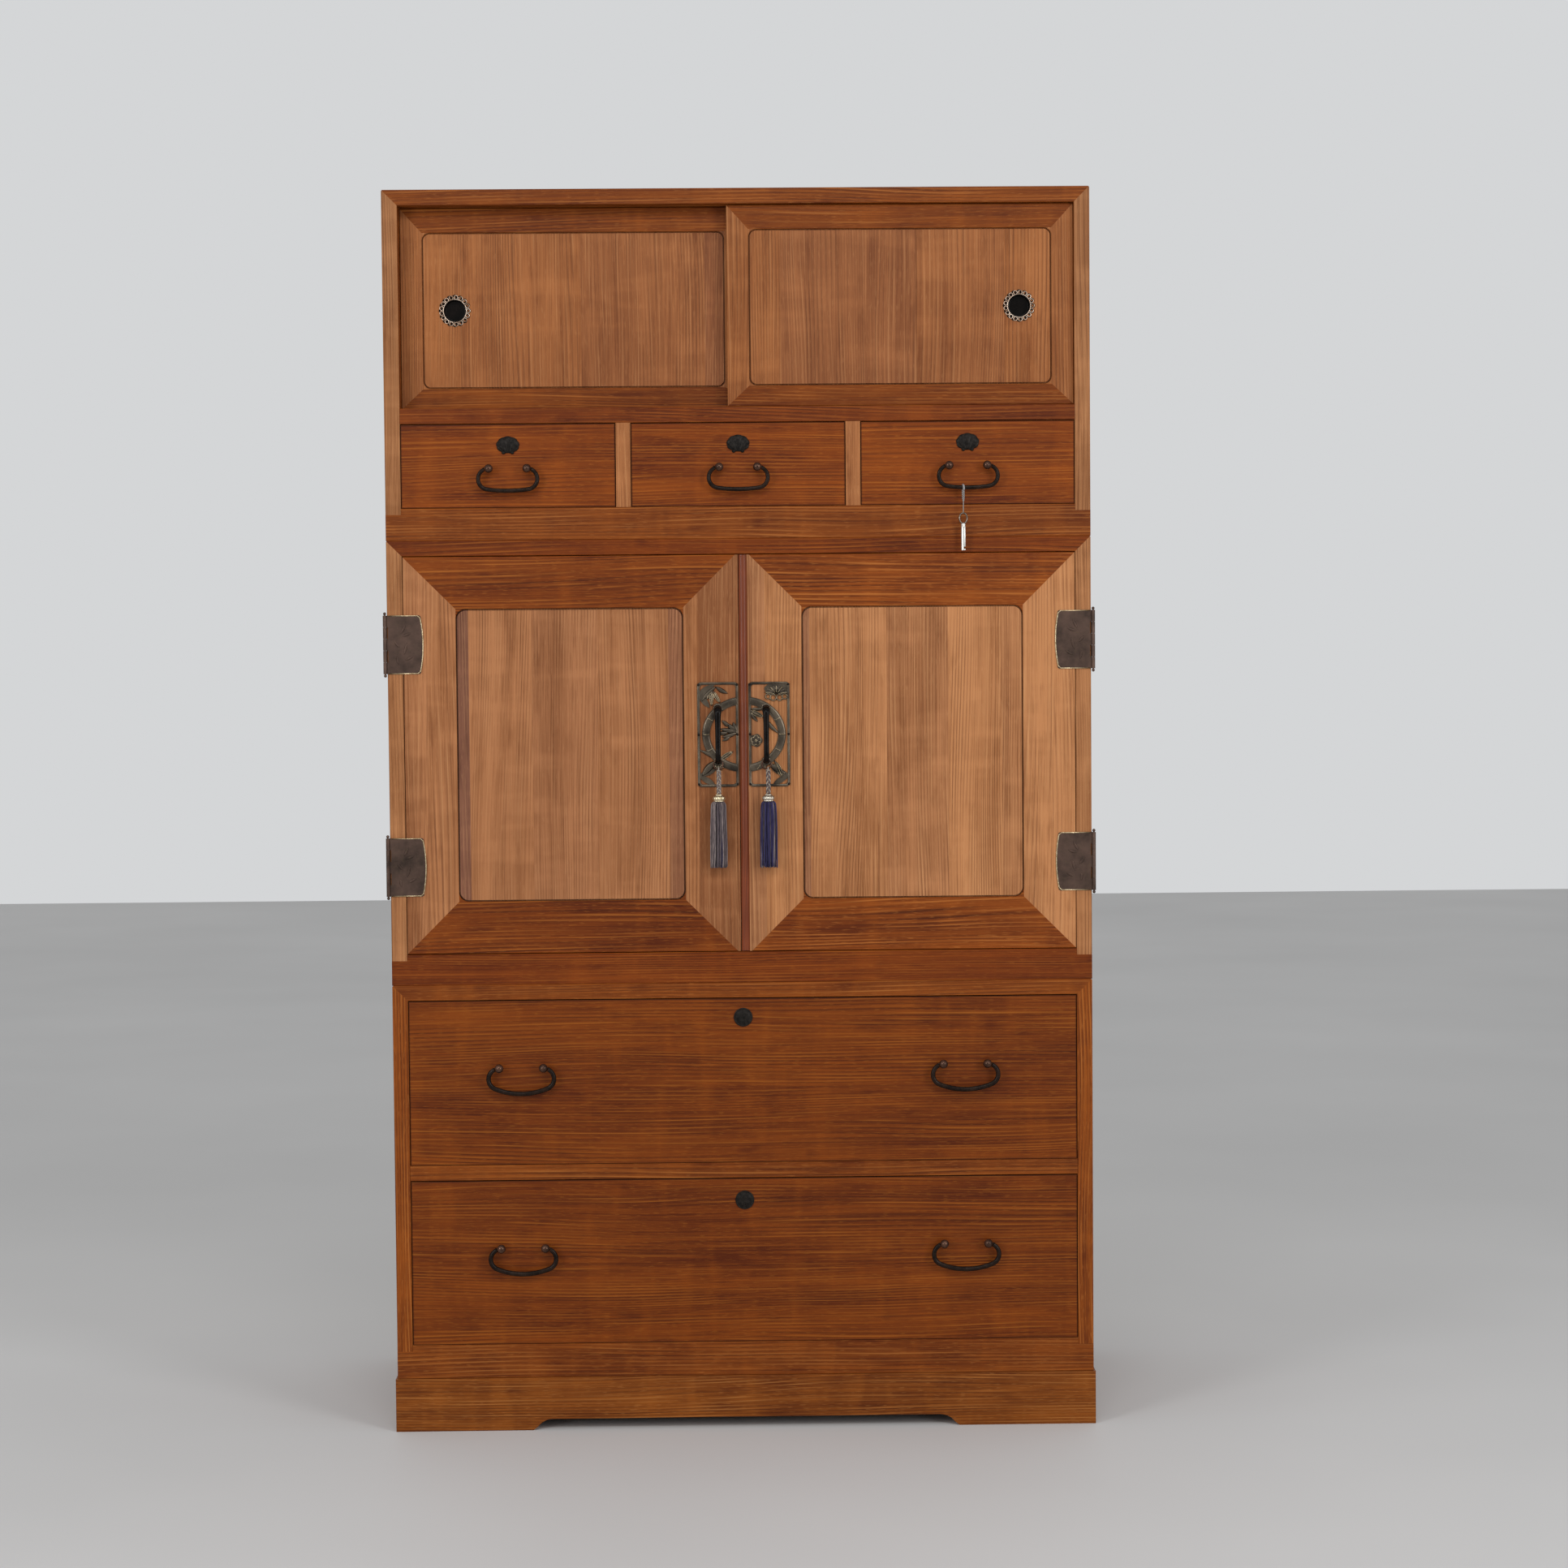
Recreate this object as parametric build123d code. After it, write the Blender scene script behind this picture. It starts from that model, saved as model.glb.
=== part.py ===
from build123d import *
import math
import os

# A kimono chest: three chests stacked on a plinth. Millimetres, +Z up, the front faces -Y.
# The origin is under the middle of the whole chest, handles counted, on the floor.

# Overall sizes
case_width = 1000.0
case_depth = 450.0
board = 22.0
arris = 1.6
eased_edge = 0.7
touching = 0.001

# Plinth under the lowest chest
plinth_height = 76.0
plinth_board = 24.0
plinth_reach = 2.8
plinth_foot = 196.0
cutout_height = 16.0
cutout_slope = 7.0
cutout_cusp = 5.0
cutout_corner = 22.0

# Rails and linings that all three chests share
rail_step = 9.0
rail_depth = 30.0
bottom_panel = 12.0
back_panel = 8.0
back_inset = 2.0
back_planks = 4

# Heights of the three chests, floor upwards
low_rail = 39.5
large_drawer_room = 237.0
middle_rail = 35.0
door_room = 566.5
high_rail = 36.5
small_drawer_room = 119.0
cupboard_room = 285.0

# Hinged doors of the middle chest
door_thickness = 22.0
door_proud = 0.3
door_side_gap = 0.9
door_end_gap = 1.0
door_member = 74.2
meeting_offset = -1.5
meeting_gap = 1.0
lipping = 4.0
bead_width = 11.7
bead_proud = 3.4
right_lipping = 3.0
door_field_round = 14.0
field_gap = 2.2
panel_tongue = 5.5
tongue_play = 0.5
door_panel = 12.0
door_field_rise = 6.0

# Case hinges
hinge_height = 83.0
hinge_from_end = 124.0
hinge_reach = 47.0
hinge_bulge = 4.4
hinge_corner = 3.0
leaf = 1.2
knuckle_radius = 2.7
knuckle_outset = 3.0
knuckle_forward = 1.8
knuckle_count = 5
knuckle_gap = 0.3
leaf_step = 1.5
hinge_pin_radius = 1.3
pin_fit = 0.05
pin_knob_radius = 2.2
case_leaf_depth = 36.0

# Lock plates, door handles and tassels
plate_height = 149.0
plate_width = 58.5
plate_thickness = 1.6
plate_above_centre = 27.0
plate_bar = 3.6
plate_corner = 6.0
plate_edge_gap = 0.9
ring_half_width = 59.5
ring_half_height = 53.8
ring_band = 11.0
nail_radius = 1.5
leaf_length = 26.0
leaf_width = 8.0
leaf_inset = 16.0
flower_petal = 4.4
petal_radius = 5.1
flower_petals = 5
flower_inset = 6.6
flower_drop = 8.8
fan_width = 34.0
fan_height = 16.0
handle_reach = 26.0
handle_height = 76.0
handle_width = 8.0
handle_bar = 5.0
handle_bend = 10.0
handle_pad = 6.2
left_handle_out = 32.1
right_handle_out = 36.4
handle_gap = 0.3
tassel_ring_radius = 6.6
tassel_ring_wire = 1.1
tassel_ring_forward = 13.0
tassel_cord_radius = 2.4
tassel_cord_length = 33.0
tassel_cord_bow = 0.5
cord_bend_share = 0.45
cord_end_gap = 0.2
hitch_wire = 1.0
hitch_gap = 0.35
bead_height = 10.0
bead_radius = 9.1
bead_neck = 4.2
skirt_length = 95.0
skirt_shoulder = 14.0
skirt_top_radius = 7.2
skirt_top_depth = 5.8
skirt_half_width = 12.4
skirt_flare = 0.8
skirt_half_depth = 7.6

# Sliding doors of the top chest
sliding_thickness = 16.0
sliding_setback = 8.0
sliding_spacing = 3.0
sliding_overlap = 28.0
sliding_side_play = 0.5
sliding_stile = 31.0
sliding_top_rail = 34.0
sliding_bottom_rail = 29.0
sliding_end_gap = 0.8
sliding_field_round = 11.0
sliding_panel = 12.0
sliding_field_rise = 5.0
runner_tongue = 6.0
runner_play = 0.4
low_groove = 4.0
high_groove = 9.0
high_engagement = 5.0
seat_gap = 0.3

# Finger pulls let into the sliding doors
pull_from_field = 46.0
cup_radius = 15.5
cup_wall = 0.8
cup_depth = 9.0
cup_corner = 2.5
pull_rim = 0.9
loop_count = 16
loop_circle = 19.4
loop_radius = 3.4
loop_hole = 1.4

# Drawers
divider = 21.0
drawer_side_gap = 0.8
drawer_top_gap = 1.0
small_front = 20.0
large_front = 22.0
small_drawer_back_gap = 40.0
large_drawer_back_gap = 25.0
small_side = 9.0
large_side = 12.0
small_bottom = 6.0
large_bottom = 8.0
drawer_lip = 0.6
drawer_side_drop = 4.0
bottom_raise = 4.0

# Bail handles, posts, locks and keyhole covers
post_standoff = 11.0
shank_radius = 2.2
shank_fit = 0.05
clench_width = 9.0
clench_height = 4.0
clench_thickness = 1.5
bail_pin_radius = 1.45
bail_pin_fit = 0.1
bail_pin_seat = 2.1
ball_web = 3.0
bend_share = 0.25
small_ball = 6.2
small_post_spacing = 54.0
small_post_drop = 64.0
small_bail_bend = 14.8
small_bail_drop = 31.5
small_rod = 2.9
large_ball = 6.4
large_post_spacing = 63.0
large_post_drop = 97.0
large_bail_bend = 15.1
large_bail_drop = 36.4
large_rod = 3.3
large_bail_inset = 161.0
ball_gap = 0.35
small_cover_drop = 29.0
upper_cover_drop = 28.0
lower_cover_drop = 32.0
lobe_radius = 4.0
lobe_reach = 16.0
lobe_fan = 53.0
lobe_count = 5
lobe_base = 6.0
lobe_root_drop = 8.7
cover_radius = 13.5
cover_dome = 3.2
cover_gap = 0.3
cover_pin_radius = 1.4
cover_pin_length = 2.2
cover_pin_rise = 6.5
keyhole_radius = 2.6
keyhole_slot = 2.0
keyhole_length = 9.0
lock_width = 36.0
lock_height = 30.0
lock_depth = 9.0
lock_below_top = 9.0

# Trays inside the middle chest
tray_count = 5
tray_height = 92.0
tray_wall = 9.0
tray_bottom = 6.0
tray_side_play = 1.5
tray_setback = 14.0
tray_back_gap = 14.3
tray_dip = 26.0
tray_dip_width = 300.0
tray_dip_round = 12.0
tray_runner_width = 12.0
tray_runner_height = 10.0
tray_runner_raise = 4.0

# Key on its string
key_shift = -7.5
string_radius = 0.9
string_length = 30.5
string_bow = 0.5
bow_half_width = 6.5
bow_half_height = 8.5
bow_wire = 1.1
key_shank = 38.0
key_shank_radius = 3.0
key_bore_radius = 1.4
key_bore_depth = 18.0
key_bit_height = 6.0
key_bit_reach = 4.5
key_bit_thickness = 2.0

# Planes that everything is set from
half_width = case_width / 2
inner_half = half_width - board
back_y = (case_depth + handle_reach + door_proud) / 2
front_y = back_y - case_depth
lining_y = back_y - back_inset - back_panel
low_z = plinth_height
low_height = low_rail + rail_step + 2 * large_drawer_room + 2 * board
middle_z = low_z + low_height
middle_height = middle_rail + rail_step + door_room + board
high_z = middle_z + middle_height
high_height = high_rail + rail_step + small_drawer_room + cupboard_room + 2 * board
top_z = high_z + high_height


def block(x0, x1, y0, y1, z0, z1):
    centre = Pos((x0 + x1) / 2, (y0 + y1) / 2, (z0 + z1) / 2)
    return centre * Box(x1 - x0, y1 - y0, z1 - z0)


def upright(sketch, y0, y1):
    # A sketch drawn in X and Z, made solid from y0 back to y1
    facing = Plane(origin=(0, y0, 0), x_dir=(1, 0, 0), z_dir=(0, -1, 0))
    return extrude(facing * sketch, amount=y1 - y0, dir=(0, 1, 0))


def outline(*points):
    return make_face(Polyline(*points, close=True))


def mirrored(shape):
    return mirror(shape, about=Plane.YZ)


def rod_x(x0, x1, y, z, radius):
    return Pos((x0 + x1) / 2, y, z) * Rot(0, 90, 0) * Cylinder(radius, x1 - x0)


def rod_y(x, y0, y1, z, radius):
    return Pos(x, (y0 + y1) / 2, z) * Rot(90, 0, 0) * Cylinder(radius, y1 - y0)


def rod_z(x, y, z0, z1, radius):
    return Pos(x, y, (z0 + z1) / 2) * Cylinder(radius, z1 - z0)


def ease(shape, face_y, size):
    # Breaks the straight edges of a board's show face, leaving its mitres sharp
    edges = []
    for edge in shape.edges():
        on_face = abs((edge @ 0).Y - face_y) < touching and abs((edge @ 1).Y - face_y) < touching
        run = (edge @ 1) - (edge @ 0)
        if on_face and run.length > 2 * board and min(abs(run.X), abs(run.Z)) < touching:
            edges.append(edge)
    return chamfer(edges, size)


def write(name, *shapes):
    solids = [solid for shape in shapes for solid in shape.solids()]
    export_step(Compound(label=name, children=solids), "parts/" + name + ".step")


# Cases

def case_boards(z0, height, rail):
    z_top = z0 + height
    shoulder = z0 + rail
    floor = shoulder + rail_step
    mitre = (half_width - arris / 2, z_top - arris / 2)
    top = upright(
        outline(
            (arris - half_width, z_top),
            (half_width - arris, z_top),
            mitre,
            (inner_half, z_top - board),
            (-inner_half, z_top - board),
            (-mitre[0], mitre[1]),
        ),
        front_y,
        back_y,
    )
    side = upright(
        outline(
            (half_width, shoulder),
            (half_width, z_top - arris),
            mitre,
            (inner_half, z_top - board),
            (inner_half, shoulder),
        ),
        front_y,
        back_y,
    )
    rail_outline = outline(
        (-half_width, z0),
        (half_width, z0),
        (half_width, shoulder),
        (inner_half, shoulder),
        (inner_half, floor),
        (-inner_half, floor),
        (-inner_half, shoulder),
        (-half_width, shoulder),
    )
    front_rail = upright(rail_outline, front_y, front_y + rail_depth)
    back_rail = upright(rail_outline, back_y - rail_depth, back_y)
    end_rail = block(inner_half, half_width, front_y + rail_depth, back_y - rail_depth, z0, shoulder)
    panel = block(
        -inner_half,
        inner_half,
        front_y + rail_depth,
        back_y - rail_depth,
        floor - bottom_panel,
        floor,
    )
    top = ease(top, front_y, eased_edge)
    side = ease(side, front_y, eased_edge)
    front_rail = ease(front_rail, front_y, eased_edge)
    return [top, side, mirrored(side), front_rail, back_rail, end_rail, mirrored(end_rail), panel]


def back_boards(z0, z1):
    plank = 2 * inner_half / back_planks
    planks = []
    for number in range(back_planks):
        x0 = number * plank - inner_half
        piece = block(x0, x0 + plank, lining_y, back_y - back_inset, z0, z1)
        planks.append(ease(piece, back_y - back_inset, eased_edge))
    return planks


def plinth():
    half = half_width + plinth_reach
    front = front_y - plinth_reach
    foot = plinth_foot - half
    cusp = foot + cutout_slope
    flat = cusp + cutout_corner
    slope_left = Line((foot, 0), (cusp, cutout_cusp))
    corner_left = TangentArc((flat, cutout_height), (cusp, cutout_cusp), tangent=(-1, 0))
    ceiling = Line((flat, cutout_height), (-flat, cutout_height))
    corner_right = TangentArc((-flat, cutout_height), (-cusp, cutout_cusp), tangent=(1, 0))
    slope_right = Line((-cusp, cutout_cusp), (-foot, 0))
    floor = Line((-foot, 0), (foot, 0))
    cutout = make_face([slope_left, corner_left, ceiling, corner_right, slope_right, floor])
    inner = half - plinth_board
    face = outline(
        (-half, 0),
        (half, 0),
        (half, plinth_height),
        (-half, plinth_height),
    )
    front_board = upright(face, front, front + plinth_board) - upright(cutout, front, front + plinth_board)
    back_board = block(-half, half, back_y - plinth_board, back_y, 0, plinth_height)
    side_board = block(inner, half, front + plinth_board, back_y - plinth_board, 0, plinth_height)
    front_board = ease(front_board, front, eased_edge)
    return [front_board, back_board, side_board, mirrored(side_board)]


def grooves(z0, z1):
    # The two runs that guide the sliding doors
    width = runner_tongue + 2 * runner_play
    cuts = []
    for face in sliding_faces():
        centre = face + sliding_thickness / 2
        y0 = centre - width / 2
        cuts.append(block(-inner_half, inner_half, y0, y0 + width, z0, z1))
    return cuts


def sliding_faces():
    near = front_y + sliding_setback
    far = near + sliding_thickness + sliding_spacing
    return near, far


# Framed doors

def mitred_frame(x0, x1, z0, z1, widths, y0, y1, rounding, groove_y, outset):
    # Four members with mitred corners round a rounded opening, grooved for the panel
    left, right, top, bottom = widths
    opening = upright(rounded(x0 + left, x1 - right, z0 + bottom, z1 - top, rounding), y0, y1)
    groove = block(
        x0 + left - outset,
        x1 - right + outset,
        groove_y[0],
        groove_y[1],
        z0 + bottom - outset,
        z1 - top + outset,
    )
    ring = block(x0, x1, y0, y1, z0, z1) - opening - groove
    reach = 1 + rounding / min(widths)
    inside = (
        (x0 + left * reach, z0 + bottom * reach),
        (x1 - right * reach, z0 + bottom * reach),
        (x1 - right * reach, z1 - top * reach),
        (x0 + left * reach, z1 - top * reach),
    )
    outside = ((x0, z0), (x1, z0), (x1, z1), (x0, z1))
    members = []
    for number in range(4):
        following = (number + 1) % 4
        wedge = outline(outside[number], outside[following], inside[following], inside[number])
        members.append(ease(ring & upright(wedge, y0, y1), y0, eased_edge))
    return members


def rounded(x0, x1, z0, z1, radius):
    return Pos((x0 + x1) / 2, (z0 + z1) / 2) * RectangleRounded(x1 - x0, z1 - z0, radius)


def fielded_panel(x0, x1, z0, z1, y_face, y_tongue, y_back, rounding):
    # The raised field stands in the frame's opening, with a narrow groove all round it
    gap = field_gap
    field = upright(rounded(x0 + gap, x1 - gap, z0 + gap, z1 - gap, rounding - gap), y_face, y_back)
    out = panel_tongue
    tongue = block(x0 - out, x1 + out, y_tongue, y_back, z0 - out, z1 + out)
    return field + tongue


door_face = front_y - door_proud
door_back = door_face + door_thickness
door_z0 = middle_z + middle_rail + rail_step + door_end_gap
door_z1 = middle_z + middle_height - board - door_end_gap
door_outer = inner_half - door_side_gap
left_meeting = meeting_offset - meeting_gap / 2
right_meeting = meeting_offset + meeting_gap / 2
left_frame_edge = left_meeting - lipping
right_bead_edge = right_meeting + bead_width
right_frame_edge = right_bead_edge + right_lipping
meeting_centre = (right_meeting + right_bead_edge) / 2


def hinged_door(side):
    x0, x1 = (-door_outer, left_frame_edge) if side == "left" else (right_frame_edge, door_outer)
    tongue_y = door_face + door_field_rise
    panel_back = door_face + door_panel
    frame = mitred_frame(
        x0,
        x1,
        door_z0,
        door_z1,
        (door_member, door_member, door_member, door_member),
        door_face,
        door_back,
        door_field_round,
        (tongue_y - seat_gap, panel_back),
        panel_tongue + tongue_play,
    )
    edge = (x1, left_meeting) if side == "left" else (right_bead_edge, x0)
    frame.append(block(edge[0], edge[1], door_face, door_back, door_z0, door_z1))
    member = door_member
    panel = fielded_panel(
        x0 + member,
        x1 - member,
        door_z0 + member,
        door_z1 - member,
        door_face,
        tongue_y,
        panel_back,
        door_field_round,
    )
    write(side + "_door_frame", *frame)
    write(side + "_door_panel", panel)


def meeting_bead():
    # Half-round nose on the right door's closing edge
    x0, x1 = right_meeting, right_bead_edge
    nose = RadiusArc((x0, door_face), (x1, door_face), nose_radius())
    back = Polyline((x1, door_face), (x1, door_back), (x0, door_back), (x0, door_face))
    section = make_face([nose, *back.edges()])
    return extrude(Pos(0, 0, door_z0) * section, amount=door_z1 - door_z0)


def nose_radius():
    half = bead_width / 2
    return (half * half + bead_proud * bead_proud) / (2 * bead_proud)


# Case hinges

hinge_x = half_width + knuckle_outset
hinge_y = front_y - knuckle_forward
hinge_levels = (door_z0 + hinge_from_end, door_z1 - hinge_from_end)


def knuckle_spans(level, first):
    # Every second knuckle belongs to the same leaf
    pitch = (hinge_height + knuckle_gap) / knuckle_count
    bottom = level - hinge_height / 2
    spans = []
    for number in range(first, knuckle_count, 2):
        z0 = bottom + number * pitch
        spans.append((z0, z0 + pitch - knuckle_gap))
    return spans


def pin_hole(level):
    z0 = level - hinge_height
    return rod_z(hinge_x, hinge_y, z0, level + hinge_height, hinge_pin_radius + pin_fit)


def door_leaf(level):
    z0, z1 = level - hinge_height / 2, level + hinge_height / 2
    x_start = half_width - leaf_step
    x_end = half_width - hinge_reach
    bulged = ThreePointArc((x_end, z1), (x_end - hinge_bulge, level), (x_end, z0))
    rest = Polyline((x_end, z0), (x_start, z0), (x_start, z1), (x_end, z1))
    face = make_face([bulged, *rest.edges()])
    corners = face.vertices().sort_by(Axis.X)[:2]
    plate = upright(fillet(corners, hinge_corner), door_face - leaf, door_face)
    for low, high in knuckle_spans(level, 0):
        plate += block(x_start, hinge_x, door_face - leaf, door_face, low, high)
        plate += rod_z(hinge_x, hinge_y, low, high, knuckle_radius)
    return plate - pin_hole(level)


def case_leaf(level):
    z0, z1 = level - hinge_height / 2, level + hinge_height / 2
    y_start = front_y + leaf_step
    plate = block(half_width, half_width + leaf, y_start, y_start + case_leaf_depth, z0, z1)
    for low, high in knuckle_spans(level, 1):
        plate += block(half_width + leaf / 2, half_width + leaf, hinge_y, y_start, low, high)
        plate += rod_z(hinge_x, hinge_y, low, high, knuckle_radius)
    return plate - pin_hole(level)


def hinge_pin(level):
    z0, z1 = level - hinge_height / 2, level + hinge_height / 2
    rise = pin_knob_radius + knuckle_gap
    pin = rod_z(hinge_x, hinge_y, z0 - rise, z1 + rise, hinge_pin_radius)
    for z in (z0 - rise, z1 + rise):
        pin += Pos(hinge_x, hinge_y, z) * Sphere(pin_knob_radius)
    return pin


# Lock plates, handles and tassels

plate_z = (door_z0 + door_z1) / 2 + plate_above_centre
plate_front = door_face - plate_thickness
handle_x = {"left": -left_handle_out, "right": right_handle_out}
handle_bar_y = door_face - handle_reach + handle_bar / 2
handle_low = plate_z - handle_height / 2
ring_y = door_face - tassel_ring_forward
ring_z = handle_low + handle_bar / 2 - handle_gap - tassel_ring_radius
ring_foot = ring_z - tassel_ring_radius
leaf_angles = (-52.0, -12.0, 28.0)
low_leaf_angles = (-30.0, 20.0)


def plate_spans():
    left_end = left_meeting - plate_edge_gap
    right_end = right_bead_edge + plate_edge_gap
    return {"left": (left_end - plate_width, left_end), "right": (right_end, right_end + plate_width)}


def blade(x, z, angle, length, width):
    # One pointed leaf, its stalk end at x, z
    tip = (length, 0)
    upper = ThreePointArc((0, 0), (length / 2, width / 2), tip)
    lower = ThreePointArc(tip, (length / 2, -width / 2), (0, 0))
    return Pos(x, z) * Rot(0, 0, angle) * make_face([upper, lower])


def lock_plate(side):
    x0, x1 = plate_spans()[side]
    z0, z1 = plate_z - plate_height / 2, plate_z + plate_height / 2
    sense = -1 if side == "left" else 1
    outer_x = x0 if side == "left" else x1
    bar = plate_bar
    whole = rounded(x0, x1, z0, z1, plate_corner)
    window = rounded(x0 + bar, x1 - bar, z0 + bar, z1 - bar, plate_corner - bar / 2)
    inner = Ellipse(ring_half_width - ring_band, ring_half_height - ring_band)
    ring = Pos(meeting_centre, plate_z) * (Ellipse(ring_half_width, ring_half_height) - inner)
    sheet = (whole - window) + (ring & whole)
    sheet += Pos(handle_x[side], handle_low) * Circle(handle_pad)
    sheet += Pos(handle_x[side], handle_low + handle_height) * Circle(handle_pad)
    corner_x = outer_x - sense * bar / 2
    if side == "left":
        for angle in leaf_angles:
            sheet += blade(corner_x, z1 - leaf_inset, angle, leaf_length, leaf_width)
    else:
        fan_x = corner_x - fan_width / 2
        fan_z = z1 - bar / 2 - fan_height / 2
        sheet += Pos(fan_x, fan_z) * Ellipse(fan_width / 2, fan_height / 2)
        flower_x = x0 + bar + flower_inset
        for number in range(flower_petals):
            turn = Rot(0, 0, number * 360 / flower_petals)
            petal = turn * Pos(flower_petal, 0) * Circle(petal_radius)
            sheet += Pos(flower_x, plate_z - flower_drop) * petal
    for angle in low_leaf_angles:
        turned = angle if side == "left" else 180 - angle
        sheet += blade(corner_x, z0 + leaf_inset, turned, leaf_length, leaf_width)
    plate = upright(sheet & whole, plate_front, door_face)
    for x in (x0 + bar / 2, x1 - bar / 2):
        for z in (z0 + bar, plate_z, z1 - bar):
            plate += Pos(x, plate_front, z) * Sphere(nail_radius)
    return plate


def door_handle(side):
    x = handle_x[side]
    z0, z1 = handle_low, handle_low + handle_height
    route = FilletPolyline(
        (x, plate_front, z0),
        (x, handle_bar_y, z0),
        (x, handle_bar_y, z1),
        (x, plate_front, z1),
        radius=handle_bend,
    )
    section = Plane(origin=(x, plate_front, z0), x_dir=(1, 0, 0), z_dir=(0, -1, 0))
    bow = sweep(section * Ellipse(handle_width / 2, handle_bar / 2), path=route)
    ring = Pos(x, ring_y, ring_z) * Rot(90, 0, 0) * Torus(tassel_ring_radius, tassel_ring_wire)
    return [bow, ring]


def hung_cord(x, y, z, radius, length, bow, wire):
    # A hitch round the wire that carries the cord, and the cord hanging from it
    hitch_radius = wire + hitch_gap + hitch_wire
    hitch = Pos(x, y, z) * Rot(0, 90, 0) * Torus(hitch_radius, hitch_wire)
    top = z - hitch_radius
    points = [(x, y, top), (x + bow, y, top - length / 2), (x, y, top - length)]
    turn = 2 * math.degrees(math.atan(2 * bow / length))
    bend = cord_bend_share * (length / 2) / math.tan(math.radians(turn) / 2)
    print("cord", round(length, 1), "mm long, bend radius", round(bend))
    route = FilletPolyline(*points, radius=bend)
    start = Plane(origin=route @ 0, z_dir=route % 0)
    cord = sweep(start * Circle(radius), path=route)
    expected = math.pi * radius * radius * route.length
    print("cord volume over section times length", round(cord.volume / expected, 4))
    return hitch + cord, top - length - cord_end_gap


def tassel(x, y, z):
    # Bead on the cord's end, and the skirt below it
    neck = bead_neck
    profile = make_face(
        [
            Line((0, 0), (neck, 0)),
            ThreePointArc((neck, 0), (bead_radius, -bead_height / 2), (neck, -bead_height)),
            Line((neck, -bead_height), (0, -bead_height)),
            Line((0, -bead_height), (0, 0)),
        ]
    )
    upright_plane = Plane(origin=(0, 0, 0), x_dir=(1, 0, 0), z_dir=(0, -1, 0))
    bead = Pos(x, y, z) * revolve(upright_plane * profile, axis=Axis.Z)
    skirt_z = z - bead_height
    sections = [
        Pos(x, y, skirt_z) * Ellipse(skirt_top_radius, skirt_top_depth),
        Pos(x, y, skirt_z - skirt_shoulder) * Ellipse(skirt_half_width - skirt_flare, skirt_half_depth),
        Pos(x, y, skirt_z - skirt_length) * Ellipse(skirt_half_width, skirt_half_depth),
    ]
    return [bead, loft(sections, ruled=True)]


# Sliding doors

shelf_z = high_z + high_rail + rail_step + small_drawer_room
cupboard_z0 = shelf_z + board
cupboard_z1 = top_z - board
sliding_z0 = cupboard_z0 + sliding_end_gap
sliding_z1 = cupboard_z1 - sliding_end_gap
sliding_outer = inner_half - sliding_side_play


def sliding_door(side):
    near, far = sliding_faces()
    face = far if side == "left" else near
    back = face + sliding_thickness
    lap = sliding_overlap / 2
    x0, x1 = (-sliding_outer, lap) if side == "left" else (-lap, sliding_outer)
    stile = sliding_stile
    widths = (stile, stile, sliding_top_rail, sliding_bottom_rail)
    tongue_y = face + sliding_field_rise
    panel_back = face + sliding_panel
    frame = mitred_frame(
        x0,
        x1,
        sliding_z0,
        sliding_z1,
        widths,
        face,
        back,
        sliding_field_round,
        (tongue_y - seat_gap, panel_back),
        panel_tongue + tongue_play,
    )
    centre = face + sliding_thickness / 2
    y0, y1 = centre - runner_tongue / 2, centre + runner_tongue / 2
    inset = sliding_bottom_rail
    low_tongue = block(x0 + inset, x1 - inset, y0, y1, cupboard_z0 - low_groove + seat_gap, sliding_z0)
    high_tongue = block(x0 + inset, x1 - inset, y0, y1, sliding_z1, cupboard_z1 + high_engagement)
    frame[0] = frame[0] + low_tongue
    frame[2] = frame[2] + high_tongue
    field = (x0 + stile, x1 - stile, sliding_z0 + sliding_bottom_rail, sliding_z1 - sliding_top_rail)
    panel = fielded_panel(*field, face, tongue_y, panel_back, sliding_field_round)
    pull_x = field[0] + pull_from_field if side == "left" else field[1] - pull_from_field
    pull_z = (field[2] + field[3]) / 2
    panel -= rod_y(pull_x, face, face + cup_depth, pull_z, cup_radius)
    write(side + "_sliding_door", *frame, panel)
    write(side + "_finger_pull", finger_pull(pull_x, face, pull_z))


def finger_pull(x, face, z):
    # A black cup with a brass rim of small loops
    spot = Pos(x, z)
    rim = Circle(loop_circle)
    for number in range(loop_count):
        turn = Rot(0, 0, number * 360 / loop_count)
        rim += turn * Pos(loop_circle, 0) * Circle(loop_radius)
    for number in range(loop_count):
        turn = Rot(0, 0, number * 360 / loop_count)
        rim -= turn * Pos(loop_circle, 0) * Circle(loop_hole)
    rim -= Circle(cup_radius - cup_wall)
    flange = upright(spot * rim, face - pull_rim, face)
    cup = rod_y(x, face, face + cup_depth, z, cup_radius)
    cup = fillet(cup.edges().filter_by(GeomType.CIRCLE).sort_by(Axis.Y)[-1:], cup_corner)
    hollow = rod_y(x, face, face + cup_depth - cup_wall, z, cup_radius - cup_wall)
    hollow = fillet(hollow.edges().filter_by(GeomType.CIRCLE).sort_by(Axis.Y)[-1:], cup_corner - cup_wall)
    return flange + (cup - hollow)


# Drawers

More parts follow.
